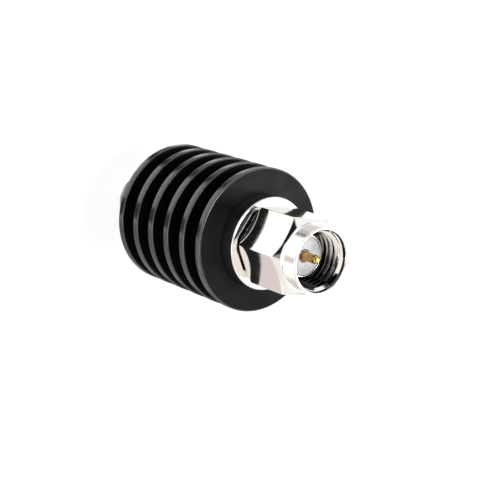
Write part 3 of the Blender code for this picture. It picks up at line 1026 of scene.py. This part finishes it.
@dataclass(frozen=True)
class CeramicFinish:
    """White alumina card with silver end pads and a dark resistor film between them.

    Attributes:
        middle: Height of the card's middle.
        half_length: Half of the card's length.
        pad: Length of each end pad.
        film_half_width: Half of the film's width.
        colour: Colour of the ceramic.
        shade_colour: Its colour in duller patches.
        film_colour: Colour of the film.
        pad_colour: Colour of the pads.
        pad_metal: How metallic the pads are.
        shading: The duller patches.
        roughness: Its roughness in patches.
        grain: Its fine grain.
    """

    middle: float = 15.013 * MM
    half_length: float = 3.63 * MM
    pad: float = 0.75 * MM
    film_half_width: float = 1.25 * MM
    colour: Colour = (0.84, 0.83, 0.80)
    shade_colour: Colour = (0.77, 0.76, 0.72)
    film_colour: Colour = (0.035, 0.04, 0.038)
    pad_colour: Colour = (0.62, 0.60, 0.56)
    pad_metal: float = 0.9
    shading: Patches = Patches(0.6 * MM, 0.0, 0.6)
    roughness: Patches = Patches(0.4 * MM, 0.42, 0.60)
    grain: Texture = Texture(0.06 * MM, 0.003 * MM)

    def build(self, groups: EffectGroups) -> bpy.types.Material:
        """Makes the finish.

        Args:
            groups: The shared effects.

        Returns:
            Its material.
        """
        surface = Surface("white_ceramic_finish", groups)
        kit = surface.kit
        parts = kit.node("ShaderNodeSeparateXYZ", {0: surface.position}).outputs
        along = kit.math("ABSOLUTE", kit.math("SUBTRACT", parts[2], self.middle))
        is_end = kit.math("GREATER_THAN", along, self.half_length - self.pad)
        is_narrow = kit.math("LESS_THAN", kit.math("ABSOLUTE", parts[0]), self.film_half_width)
        is_film = kit.product(is_narrow, kit.math("SUBTRACT", 1.0, is_end))
        is_pad = kit.product(is_end, is_narrow)
        tone = kit.mix_colour(surface.clouds(self.shading), self.colour, self.shade_colour)
        tone = kit.mix_colour(is_film, tone, self.film_colour)
        surface.set(
            Base_Color=kit.mix_colour(is_pad, tone, self.pad_colour),
            Metallic=kit.product(is_pad, self.pad_metal),
            Roughness=surface.clouds(self.roughness),
            Normal=surface.grained(self.grain),
        )
        return surface.material


class FinishBook:
    """One finish for each material slot of the record."""

    def __init__(self, groups: EffectGroups) -> None:
        """Builds all the finishes."""
        # painted shade: a dark ring at the step of the pin's foot
        shoulder = Band(0.49 * MM, 0.66 * MM, 30.0 * MM, 30.14 * MM, 0.01 * MM, colour=(0.16, 0.10, 0.045))
        gold = MetalFinish("gold_plate_finish", (0.62, 0.39, 0.15), (0.46, 0.28, 0.10),
                           Patches(0.5 * MM, 0.16, 0.26), (shoulder,))
        bronze = MetalFinish("spring_bronze_finish", (0.70, 0.47, 0.30), (0.52, 0.33, 0.20),
                             Patches(0.5 * MM, 0.28, 0.42))
        insulator = PlasticFinish("white_insulator_finish", (0.82, 0.82, 0.83), (0.60, 0.60, 0.62),
                                  Patches(0.9 * MM, 0.24, 0.36), 0.2, 1.38)
        bead = PlasticFinish("tan_bead_finish", (0.56, 0.42, 0.27), (0.47, 0.34, 0.20),
                             Patches(0.9 * MM, 0.40, 0.55), 0.0, 1.6)
        self.materials: dict[Slot, bpy.types.Material] = {
            Slot.BLACK: AnodisedFinish().build(groups),
            Slot.NICKEL: NickelFinish().build(groups),
            Slot.BRONZE: bronze.build(groups),
            Slot.INSULATOR: insulator.build(groups),
            Slot.GOLD: gold.build(groups),
            Slot.BEAD: bead.build(groups),
            Slot.CERAMIC: CeramicFinish().build(groups),
        }

    def dress(self, item: bpy.types.Object, slot: Slot, body: Body, *nodes: str) -> None:
        """Gives a new piece its finish and its place in the frame.

        Args:
            item: The piece.
            slot: Material slot that it takes its finish from.
            body: Body that it rides on.
            nodes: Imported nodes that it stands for.
        """
        item.data.materials.append(self.materials[slot])
        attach(item, body.value)
        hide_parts(*nodes)
        LOG.info("%s: %d faces, stands for %s", item.name, len(item.data.polygons), ", ".join(nodes))

    def dress_node(self, name: str, slot: Slot) -> None:
        """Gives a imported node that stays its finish."""
        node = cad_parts[name]
        for holder in node.material_slots:
            holder.material = self.materials[slot]
        LOG.info("%s: packed solid in %s", name, slot.value)


@dataclass
class HeatSink:
    """Turned heat sink: a bored body with six round fins."""

    book: FinishBook
    bore: float = DATUM.sink_bore
    root: float = 5.20 * MM
    radius: float = 7.80 * MM
    rear: float = DATUM.sink_rear
    fin_count: int = 6
    fin_pitch: float = 2.88 * MM
    fin_thickness: float = 0.865 * MM
    edge_rounding: float = 0.13 * MM
    root_rounding: float = 0.20 * MM
    bore_rounding: float = 0.08 * MM

    def section(self) -> list[Corner]:
        """Corners of the turned section, from the bore's rear edge around the fins."""
        corners = [Corner(self.bore, self.rear, self.bore_rounding)]
        for index in range(self.fin_count):
            start = self.rear + index * self.fin_pitch
            end = start + self.fin_thickness
            if index > 0:
                corners.append(Corner(self.root, start, self.root_rounding))
            corners.append(Corner(self.radius, start, self.edge_rounding))
            corners.append(Corner(self.radius, end, self.edge_rounding))
            if index < self.fin_count - 1:
                corners.append(Corner(self.root, end, self.root_rounding))
        front = self.rear + (self.fin_count - 1) * self.fin_pitch + self.fin_thickness
        corners.append(Corner(self.bore, front, self.bore_rounding))
        return corners

    def build(self) -> None:
        """Makes and dresses the heat sink."""
        sink = turned_piece("finned_sink", self.section(), FINE_COLUMNS)
        self.book.dress(sink, Slot.BLACK, Body.ATTENUATOR, "heat_sink")


@dataclass
class PlugShell:
    """Plug body: shank, round flange, neck with its ring groove and thin spigot."""

    book: FinishBook
    groove: float = 2.32 * MM
    groove_start: float = 25.925 * MM
    groove_end: float = 26.535 * MM

    def section(self) -> list[Corner]:
        """Corners of the turned section, from the bead's seat around the outside."""
        seat = DATUM.plug_seat
        flange_front = seat + DATUM.flange_thickness
        shank_end = DATUM.plug_shank_end
        bead_step = shank_end + DATUM.bead_depth
        small = DATUM.small_rounding
        return [
            Corner(DATUM.bead_seat, shank_end),
            Corner(DATUM.shank, shank_end, small),
            Corner(DATUM.shank, seat),
            Corner(DATUM.flange, seat, small),
            Corner(DATUM.flange, flange_front, DATUM.flange_rounding),
            Corner(DATUM.neck, flange_front, small),
            Corner(DATUM.neck, self.groove_start, small / 2),
            Corner(self.groove, self.groove_start, small / 2),
            Corner(self.groove, self.groove_end, small / 2),
            Corner(DATUM.neck, self.groove_end, small / 2),
            Corner(DATUM.neck, DATUM.neck_end, small),
            Corner(DATUM.spigot, DATUM.neck_end, small),
            Corner(DATUM.spigot, DATUM.reference_plane, small),
            Corner(DATUM.insulator_bore, DATUM.reference_plane, small / 2),
            Corner(DATUM.insulator_bore, bead_step),
            Corner(DATUM.bead_seat, bead_step),
        ]

    def build(self) -> None:
        """Makes and dresses the plug body."""
        shell = turned_piece("plug_shell", self.section(), BODY_COLUMNS)
        self.book.dress(shell, Slot.NICKEL, Body.ATTENUATOR, "plug_body")


@dataclass
class JackShell:
    """Jack body: threaded barrel, relief, flange and shank, bored from both ends."""

    book: FinishBook
    crest: float = 3.14 * MM
    root: float = 2.74 * MM
    thread_end: float = 5.00 * MM
    run_out: float = 0.40 * MM

    def thread(self) -> ScrewThread:
        """Outer thread between the end face and the relief."""
        return ScrewThread(ThreadForm.OUTSIDE, self.crest, self.root, 0.0, self.thread_end,
                           self.run_out, self.run_out)

    def section(self) -> list[Corner]:
        """Corners of the open section, from the thread's upper end around to its lower end."""
        shoulder = DATUM.jack_shoulder
        seat = DATUM.jack_seat
        shank_end = DATUM.jack_shank_end
        bead_step = shank_end - DATUM.bead_depth
        small = DATUM.small_rounding
        return [
            Corner(self.root, self.thread_end),
            Corner(self.root, shoulder, small),
            Corner(DATUM.flange, shoulder, DATUM.flange_rounding),
            Corner(DATUM.flange, seat, small),
            Corner(DATUM.shank, seat),
            Corner(DATUM.shank, shank_end, small),
            Corner(DATUM.bead_seat, shank_end),
            Corner(DATUM.bead_seat, bead_step),
            Corner(DATUM.insulator_bore, bead_step),
            Corner(DATUM.insulator_bore, DATUM.counterbore_depth, small / 2),
            Corner(DATUM.counterbore, DATUM.counterbore_depth, small / 2),
            Corner(DATUM.counterbore, 0.0, small),
            Corner(self.root, 0.0),
        ]

    def build(self) -> None:
        """Makes and dresses the jack body."""
        section = rounded_section(self.section(), False)
        mesh = RoundMesh("jack_shell", even_angles(BODY_COLUMNS))
        mesh.add(lambda angle: section, False)
        mesh.add(self.thread().column, False)
        self.book.dress(mesh.finish(), Slot.NICKEL, Body.ATTENUATOR, "jack_body")


@dataclass
class CouplingNut:
    """Hexagon nut with a round collar, an inner thread and a snap-ring groove."""

    book: FinishBook
    rear: float = 24.825 * MM
    front: float = 32.825 * MM
    hex_end: float = 30.925 * MM
    flat: float = 4.00 * MM
    collar: float = 3.60 * MM
    rear_land: float = 4.20 * MM
    bore: float = 2.66 * MM
    groove: float = 3.04 * MM
    groove_start: float = 25.925 * MM
    groove_end: float = 26.335 * MM
    relief_end: float = 28.635 * MM
    lip_start: float = 32.375 * MM
    run_out: float = 0.20 * MM
    lead_in: float = 0.45 * MM
    rear_slope: float = math.tan(math.radians(30.0))
    front_slope: float = math.tan(math.radians(34.0))
    corner_rounding: float = 0.10 * MM
    edge_rounding: float = 0.05 * MM
    front_edge_rounding: float = 0.35 * MM
    collar_fillet: float = 0.60 * MM
    lip_rounding: float = 0.20 * MM
    nose_rounding: float = 0.16 * MM
    least_break: float = 0.04 * MM
    columns_per_flat: int = 22

    def corner_centre(self) -> float:
        """Distance of the rounded corners' centres from the axis."""
        return (self.flat - self.corner_rounding) / math.cos(SIXTH_TURN / 2)

    def corner_share(self) -> float:
        """Half angle around the axis that a rounded corner takes up."""
        across = self.corner_rounding * math.sin(SIXTH_TURN / 2)
        along = self.corner_centre() + self.corner_rounding * math.cos(SIXTH_TURN / 2)
        return math.atan2(across, along)

    def angles(self) -> list[float]:
        """Angles of the columns, close together at the hexagon's corners."""
        share = self.corner_share()
        angles = []
        for side in range(6):
            start = side * SIXTH_TURN
            angles += [start, start + share / 2]
            for step in range(self.columns_per_flat + 1):
                angles.append(start + share + (SIXTH_TURN - 2 * share) * step / self.columns_per_flat)
            angles.append(start + SIXTH_TURN - share / 2)
        return angles + [FULL_TURN]

    def hex_radius(self, angle: float) -> float:
        """Distance of the hexagon's side from the axis at an angle."""
        turn = angle % SIXTH_TURN
        off_corner = min(turn, SIXTH_TURN - turn)
        if off_corner >= self.corner_share():
            return self.flat / math.cos(SIXTH_TURN / 2 - off_corner)
        centre = self.corner_centre()
        across = centre * math.sin(off_corner)
        return centre * math.cos(off_corner) + math.sqrt(self.corner_rounding ** 2 - across ** 2)

    def outside(self, angle: float) -> list[SectionPoint]:
        """Gives the nut's section outside its thread.

        Args:
            angle: Angle around Z.

        Returns:
            Points from the thread's upper end around the outside to its lower end.
        """
        side = self.hex_radius(angle)
        edge = self.edge_rounding
        land = min(self.rear_land, side - self.least_break)
        rear_side = self.rear + max(self.least_break, (side - self.rear_land) * self.rear_slope)
        front_side = self.hex_end - (side - self.collar) * self.front_slope
        corners = [
            Corner(DATUM.thread_root, self.lip_start),
            Corner(DATUM.thread_root, self.front, self.lip_rounding),
            Corner(self.collar, self.front, self.nose_rounding),
            Corner(self.collar, self.hex_end, self.collar_fillet),
            Corner(side, front_side, self.front_edge_rounding),
            Corner(side, rear_side, edge),
            Corner(land, self.rear, edge / 2),
            Corner(self.bore, self.rear, edge),
            Corner(self.bore, self.groove_start, edge / 2),
            Corner(self.groove, self.groove_start, edge / 2),
            Corner(self.groove, self.groove_end, edge / 2),
            Corner(self.bore, self.groove_end, edge / 2),
            Corner(self.bore, DATUM.neck_end, edge),
            Corner(DATUM.thread_root, DATUM.neck_end, edge),
            Corner(DATUM.thread_root, self.relief_end),
        ]
        return rounded_section(corners, False)

    def thread(self) -> ScrewThread:
        """Inner thread between the relief and the lead-in cone."""
        return ScrewThread(ThreadForm.INSIDE, DATUM.thread_core, DATUM.thread_root,
                           self.relief_end, self.lip_start, self.run_out, self.lead_in)

    def build(self) -> None:
        """Makes and dresses the nut."""
        mesh = RoundMesh("screw_nut", self.angles())
        mesh.add(self.outside, False)
        mesh.add(self.thread().column, False)
        self.book.dress(mesh.finish(), Slot.NICKEL, Body.NUT, "coupling_nut")


@dataclass
class Insulators:
    """White insulating sleeves around both centre contacts."""

    book: FinishBook
    radius: float = 2.05 * MM
    hole: float = 0.675 * MM
    rounding: float = 0.07 * MM

    def sleeve(self, name: str, node: str, start: float, end: float) -> None:
        """Makes and dresses one sleeve between two heights."""
        corners = [
            Corner(self.hole, start, self.rounding),
            Corner(self.radius, start, self.rounding),
            Corner(self.radius, end, self.rounding),
            Corner(self.hole, end, self.rounding),
        ]
        sleeve = turned_piece(name, corners, BODY_COLUMNS)
        self.book.dress(sleeve, Slot.INSULATOR, Body.ATTENUATOR, node)

    def build(self) -> None:
        """Makes both sleeves."""
        plug_start = DATUM.plug_shank_end + DATUM.bead_depth
        jack_end = DATUM.jack_shank_end - DATUM.bead_depth
        self.sleeve("jack_insulator", "jack_dielectric", DATUM.jack_face, jack_end)
        self.sleeve("plug_insulator", "plug_dielectric", plug_start, DATUM.plug_face)


@dataclass
class CentreContacts:
    """Plug pin and slotted jack socket, both with a captive collar."""

    book: FinishBook
    collar: float = 0.935 * MM
    collar_length: float = 0.50 * MM
    collar_offset: float = 3.03 * MM
    pin_reach: float = 2.00 * MM
    pin_taper: float = 0.45 * MM
    pin_tip: float = 0.21 * MM
    pin_bulge: float = 0.05 * MM
    pin_roundings: tuple[float, float, float] = (0.40 * MM, 0.25 * MM, 0.12 * MM)
    socket_bore: float = 0.485 * MM
    socket_depth: float = 2.90 * MM
    slot_width: float = 0.14 * MM
    slot_length: float = 2.00 * MM
    rounding: float = 0.05 * MM

    def shank(self, end: float, sense: float) -> list[Corner]:
        """Corners of a contact's inner end.

        Args:
            end: Height of the inner end.
            sense: 1 where the contact points up from there, -1 where it points down.

        Returns:
            The corners from the axis to the collar's outer side.
        """
        collar_end = end + sense * self.collar_offset
        collar_start = collar_end - sense * self.collar_length
        return [
            Corner(0.0, end),
            Corner(DATUM.contact, end, self.rounding),
            Corner(DATUM.contact, collar_start),
            Corner(self.collar, collar_start, self.rounding),
            Corner(self.collar, collar_end, self.rounding),
            Corner(DATUM.contact, collar_end),
        ]

    def pin(self) -> bpy.types.Object:
        """Makes the pin, with a tapered, rounded tip."""
        shoulder = DATUM.plug_face
        tip = DATUM.reference_plane + self.pin_reach
        shoulder_rounding, middle_rounding, tip_rounding = self.pin_roundings
        middle = (DATUM.pin + self.pin_tip) / 2 + self.pin_bulge
        corners = self.shank(DATUM.plug_shank_end, 1.0) + [
            Corner(DATUM.contact, shoulder, self.rounding),
            Corner(DATUM.pin, shoulder, self.rounding / 2),
            Corner(DATUM.pin, tip - self.pin_taper, shoulder_rounding),
            Corner(middle, tip - self.pin_taper / 3, middle_rounding),
            Corner(self.pin_tip, tip, tip_rounding),
            Corner(0.0, tip),
        ]
        return turned_piece("centre_pin", corners, CONTACT_COLUMNS, False)

    def socket(self) -> bpy.types.Object:
        """Makes the socket, with four fingers that close on a mating pin."""
        mouth = DATUM.jack_face
        corners = self.shank(DATUM.jack_shank_end, -1.0) + [
            Corner(DATUM.contact, mouth, self.rounding),
            Corner(self.socket_bore, mouth, self.rounding),
            Corner(self.socket_bore, mouth + self.socket_depth, self.rounding),
            Corner(0.0, mouth + self.socket_depth),
        ]
        blank = turned_piece("finger_socket", corners, CONTACT_COLUMNS, False)
        for index in range(2):
            self.cut_slot(blank, mouth, index * math.pi / 2)
        return blank

    def cut_slot(self, blank: bpy.types.Object, mouth: float, angle: float) -> None:
        """Saws one slot across the socket's mouth.

        Args:
            blank: The socket so far.
            mouth: Height of its mouth.
            angle: Direction of the slot around Z.
        """
        blade = bmesh.new()
        bmesh.ops.create_cube(blade, size=1.0)
        size = (4 * DATUM.contact, self.slot_width, 2 * self.slot_length)
        place = Matrix.Translation((0.0, 0.0, mouth)) @ Matrix.Rotation(angle, 4, "Z")
        bmesh.ops.transform(blade, matrix=place @ Matrix.Diagonal((*size, 1.0)), verts=blade.verts)
        cutter = placed("saw_blade", mesh_data("saw_blade", blade))
        cut = blank.modifiers.new("slot", "BOOLEAN")
        cut.operation = "DIFFERENCE"
        cut.solver = "EXACT"
        cut.object = cutter
        graph = bpy.context.evaluated_depsgraph_get()
        result = bpy.data.meshes.new_from_object(blank.evaluated_get(graph))
        blank.modifiers.remove(cut)
        blank.data = result
        bpy.data.objects.remove(cutter)

    def build(self) -> None:
        """Makes and dresses both contacts."""
        self.book.dress(self.pin(), Slot.GOLD, Body.ATTENUATOR, "plug_pin")
        self.book.dress(self.socket(), Slot.GOLD, Body.ATTENUATOR, "jack_socket")


@dataclass
class InnerParts:
    """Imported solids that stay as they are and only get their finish."""

    book: FinishBook
    nodes: dict[str, Slot] = field(default_factory=lambda: {
        "barrel": Slot.NICKEL,
        "nut_snap_ring": Slot.BRONZE,
        "plug_bead": Slot.BEAD,
        "jack_bead": Slot.BEAD,
        "plug_retainer": Slot.NICKEL,
        "jack_retainer": Slot.NICKEL,
        "attenuator_chip": Slot.CERAMIC,
        "chip_carrier_upper": Slot.NICKEL,
        "chip_carrier_lower": Slot.NICKEL,
        "plug_contact_tab": Slot.GOLD,
        "jack_contact_tab": Slot.GOLD,
    })

    def build(self) -> None:
        """Dresses every inner part."""
        for name, slot in self.nodes.items():
            self.book.dress_node(name, slot)


class Card(NamedTuple):
    """Round zone of the studio that shiny surfaces mirror.

    Attributes:
        centre: Direction of its middle.
        inner: Angle of its even part, in degrees.
        outer: Angle where it ends, in degrees.
        colour: Its colour.
    """

    centre: Direction
    inner: float
    outer: float
    colour: Colour


class Sector(NamedTuple):
    """Sector of the floor's ring around the attenuator, as shiny surfaces mirror it.

    Attributes:
        azimuth: Direction of its middle around Z, in degrees.
        inner: Half angle of its even part, in degrees.
        outer: Half angle where it ends, in degrees.
        near: Radius where it starts.
        far: Radius where it ends.
        colour: Its colour.
    """

    azimuth: float
    inner: float
    outer: float
    near: float
    far: float
    colour: Colour


class Lamp(NamedTuple):
    """Soft round lamp that points at the attenuator.

    Attributes:
        name: Name of the lamp.
        direction: Direction that it stands in.
        distance: Its distance.
        size: Its diameter.
        power: Its power in watts.
    """

    name: str
    direction: Direction
    distance: float
    size: float
    power: float


@dataclass
class Studio:
    """White floor, white surroundings, soft lamps and the camera."""

    groups: EffectGroups
    target: Direction = (0.0, 0.0, 16.0 * MM)
    floor_half: float = 1.5
    floor_drop: float = 0.01 * MM
    floor_colour: Colour = (0.40, 0.40, 0.40)
    floor_glow: float = 0.80
    sector_softness: float = 2.0 * MM
    surround_strength: float = 0.52
    camera_place: Direction = (-0.09741458, 0.02518608, 0.13914366)
    camera_right: Direction = (0.78093826, 0.13399099, 0.61006709)
    camera_up: Direction = (0.0, 0.97671959, -0.21452005)
    camera_back: Direction = (-0.62460823, 0.16752691, 0.76275769)
    lens: float = 107.507
    sensor: float = 36.0
    cards: tuple[Card, ...] = (
        # warm ground on the camera's side
        Card((-0.20, -0.66, 0.72), 22.0, 48.0, (0.96, 0.91, 0.87)),
        # dark stand, from above the camera down to it
        Card((-0.337, 0.662, 0.669), 20.0, 23.0, NEAR_BLACK),
        Card((-0.367, 0.422, 0.829), 7.5, 9.5, NEAR_BLACK),
        Card((-0.484, 0.280, 0.829), 7.5, 9.5, NEAR_BLACK),
        Card((-0.551, 0.097, 0.829), 9.0, 12.0, NEAR_BLACK),
        # grey gap under the camera
        Card((-0.568, -0.152, 0.809), 3.0, 7.0, (0.30, 0.29, 0.28)),
        # dark zones at the camera's upper and lower right
        Card((0.201, 0.552, 0.809), 9.0, 12.0, (0.02, 0.02, 0.02)),
        Card((-0.198, -0.139, 0.970), 10.0, 13.0, (0.08, 0.075, 0.07)),
        # dark wall behind the attenuator, on the right
        Card((0.97, -0.17, 0.18), 13.0, 22.0, (0.02, 0.02, 0.02)),
        Card((0.88, -0.43, 0.18), 10.0, 20.0, (0.13, 0.105, 0.08)),
    )
    lamps: tuple[Lamp, ...] = (
        Lamp("top_lamp", (0.10, 0.12, 0.99), 0.50, 0.20, 1.2),
        Lamp("sheen_lamp", (0.629, -0.134, 0.766), 0.50, 0.20, 0.45),
        Lamp("side_lamp", (-0.93, -0.30, 0.20), 0.60, 0.30, 0.5),
    )
    # each lies over the ones before it
    sectors: tuple[Sector, ...] = (
        Sector(235.0, 34.0, 44.0, 0.0, 25.0 * MM, (0.46, 0.43, 0.42)),
        Sector(252.0, 14.0, 24.0, 26.0 * MM, 36.0 * MM, (0.60, 0.54, 0.53)),
        Sector(250.0, 45.0, 60.0, 37.0 * MM, 60.0 * MM, (0.97, 0.945, 0.915)),
        Sector(106.0, 5.0, 13.0, 0.0, 30.0 * MM, (0.05, 0.05, 0.06)),
        Sector(90.0, 8.0, 14.0, 0.0, 30.0 * MM, (0.36, 0.36, 0.38)),
        Sector(180.0, 8.0, 13.0, 0.0, 27.0 * MM, (0.13, 0.13, 0.14)),
        Sector(310.0, 30.0, 45.0, 0.0, 26.0 * MM, (0.05, 0.05, 0.06)),
        Sector(42.0, 14.0, 26.0, 0.0, 24.0 * MM, (0.25, 0.25, 0.26)),
        Sector(78.0, 14.0, 48.0, 33.0 * MM, 60.0 * MM, (0.58, 0.56, 0.56)),
        Sector(103.0, 11.0, 17.0, 33.0 * MM, 60.0 * MM, (0.44, 0.42, 0.415)),
        Sector(107.0, 2.0, 6.0, 37.0 * MM, 60.0 * MM, (0.22, 0.21, 0.20)),
        Sector(190.0, 4.0, 14.0, 37.0 * MM, 60.0 * MM, (0.60, 0.555, 0.53)),
        Sector(272.0, 10.0, 40.0, 34.0 * MM, 60.0 * MM, (0.56, 0.53, 0.51)),
        # far out, as flats and fins mirror it from the sides
        Sector(340.0, 12.0, 24.0, 120.0 * MM, 400.0 * MM, (0.05, 0.045, 0.04)),
        Sector(75.0, 8.0, 26.0, 110.0 * MM, 900.0 * MM, (0.22, 0.22, 0.23)),
        Sector(225.0, 8.0, 26.0, 110.0 * MM, 900.0 * MM, (0.22, 0.21, 0.21)),
        Sector(315.0, 8.0, 26.0, 110.0 * MM, 900.0 * MM, (0.22, 0.22, 0.22)),
    )

    def build_floor(self) -> None:
        """Makes the floor that the attenuator stands on."""
        mesh = bmesh.new()
        half = self.floor_half
        spots = [(-half, -half), (half, -half), (half, half), (-half, half)]
        mesh.faces.new([mesh.verts.new((x, y, -self.floor_drop)) for x, y in spots])
        floor = placed("floor", mesh_data("floor", mesh))
        floor.data.materials.append(self.floor_material())
        LOG.info("floor: stage")

    def floor_material(self) -> bpy.types.Material:
        """Pale paper that keeps a soft shadow and shows white to the camera and in metal."""
        material = bpy.data.materials.new("floor_paper")
        material.use_nodes = True
        material.cycles.emission_sampling = "NONE"
        tree = material.node_tree
        tree.nodes.clear()
        kit = NodeKit(tree)
        mirrored = self.mirrored_floor(kit)
        shown = kit.mix_colour(kit.ray("Camera"), mirrored, WHITE)
        strength = kit.product(kit.seen(), self.floor_glow)
        glow = kit.node("ShaderNodeEmission", {"Color": shown, "Strength": strength})
        tint = kit.mix_colour(kit.ray("Glossy"), WHITE, mirrored)
        colour = kit.mix_colour(1.0, self.floor_colour, tint, "MULTIPLY")
        paper = kit.node("ShaderNodeBsdfDiffuse", {"Color": colour})
        both = kit.node("ShaderNodeAddShader", {0: paper.outputs[0], 1: glow.outputs[0]})
        kit.node("ShaderNodeOutputMaterial", {"Surface": both.outputs[0]})
        return material

    def mirrored_floor(self, kit: NodeKit) -> Socket:
        """Colour of the floor's sectors.

        Args:
            kit: Kit of the floor's material.

        Returns:
            The colour, white between the sectors.
        """
        across, _ = kit.levelled(kit.node("ShaderNodeTexCoord").outputs["Object"])
        radius = kit.length(across)
        direction = kit.vector_math("NORMALIZE", across).outputs["Vector"]
        colour: object = WHITE
        soft = self.sector_softness
        for sector in self.sectors:
            mask = kit.group(self.groups.card, Direction=direction, Centre=towards(sector.azimuth),
                             Outer=math.radians(sector.outer), Inner=math.radians(sector.inner))
            started = kit.remap(radius, sector.near - soft, sector.near)
            ended = kit.remap(radius, sector.far, sector.far + soft, 1.0, 0.0)
            mask = kit.product(mask.outputs[0], started, ended)
            colour = kit.mix_colour(mask, colour, sector.colour)
        return colour

    def build_surroundings(self) -> None:
        """Makes the white surroundings with the zones that metal mirrors."""
        world = bpy.data.worlds.new("surroundings")
        bpy.context.scene.world = world
        world.use_nodes = True
        world.cycles.sampling_method = "NONE"
        world.node_tree.nodes.clear()
        kit = NodeKit(world.node_tree)
        direction = kit.node("ShaderNodeTexCoord").outputs["Generated"]
        colour: object = WHITE
        for card in self.cards:
            centre = tuple(Vector(card.centre).normalized())
            mask = kit.group(self.groups.card, Direction=direction, Centre=centre,
                             Outer=math.radians(card.outer), Inner=math.radians(card.inner))
            colour = kit.mix_colour(mask.outputs[0], colour, card.colour)
        colour = kit.mix_colour(kit.ray("Glossy"), WHITE, colour)
        strength = kit.remap(kit.seen(), 0.0, 1.0, self.surround_strength, 1.0)
        background = kit.node("ShaderNodeBackground", {"Color": colour, "Strength": strength})
        kit.node("ShaderNodeOutputWorld", {"Surface": background.outputs[0]})
        LOG.info("surroundings: %d zones", len(self.cards))

    def build_lamps(self) -> None:
        """Hangs the lamps."""
        for lamp in self.lamps:
            data = bpy.data.lights.new(lamp.name, "AREA")
            data.shape = "DISK"
            data.size = lamp.size
            data.energy = lamp.power
            item = placed(lamp.name, data)
            away = Vector(lamp.direction).normalized()
            item.location = Vector(self.target) + away * lamp.distance
            item.rotation_euler = away.to_track_quat("Z", "Y").to_euler()
            LOG.info("%s: lamp", lamp.name)

    def build_camera(self) -> None:
        """Places the camera at the photograph's view."""
        data = bpy.data.cameras.new("camera")
        data.lens = self.lens
        data.sensor_width = self.sensor
        data.clip_start = 1.0 * MM
        camera = placed("camera", data)
        turn = Matrix((self.camera_right, self.camera_up, self.camera_back)).transposed()
        camera.matrix_world = Matrix.Translation(self.camera_place) @ turn.to_4x4()
        bpy.context.scene.camera = camera
        LOG.info("camera: ready")

    def build(self) -> None:
        """Sets the studio up."""
        bpy.context.scene.view_settings.view_transform = "Standard"
        self.build_camera()
        self.build_surroundings()
        self.build_floor()
        self.build_lamps()


def main() -> None:
    """Builds every sub-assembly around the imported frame, in order."""
    logging.basicConfig(level=logging.INFO, format="%(message)s")
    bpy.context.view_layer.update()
    groups = EffectGroups()
    book = FinishBook(groups)
    Studio(groups).build()
    for assembly in (HeatSink, PlugShell, JackShell, CouplingNut, Insulators, CentreContacts, InnerParts):
        LOG.info("building %s", assembly.__name__)
        assembly(book).build()


if __name__ == "__main__":
    main()
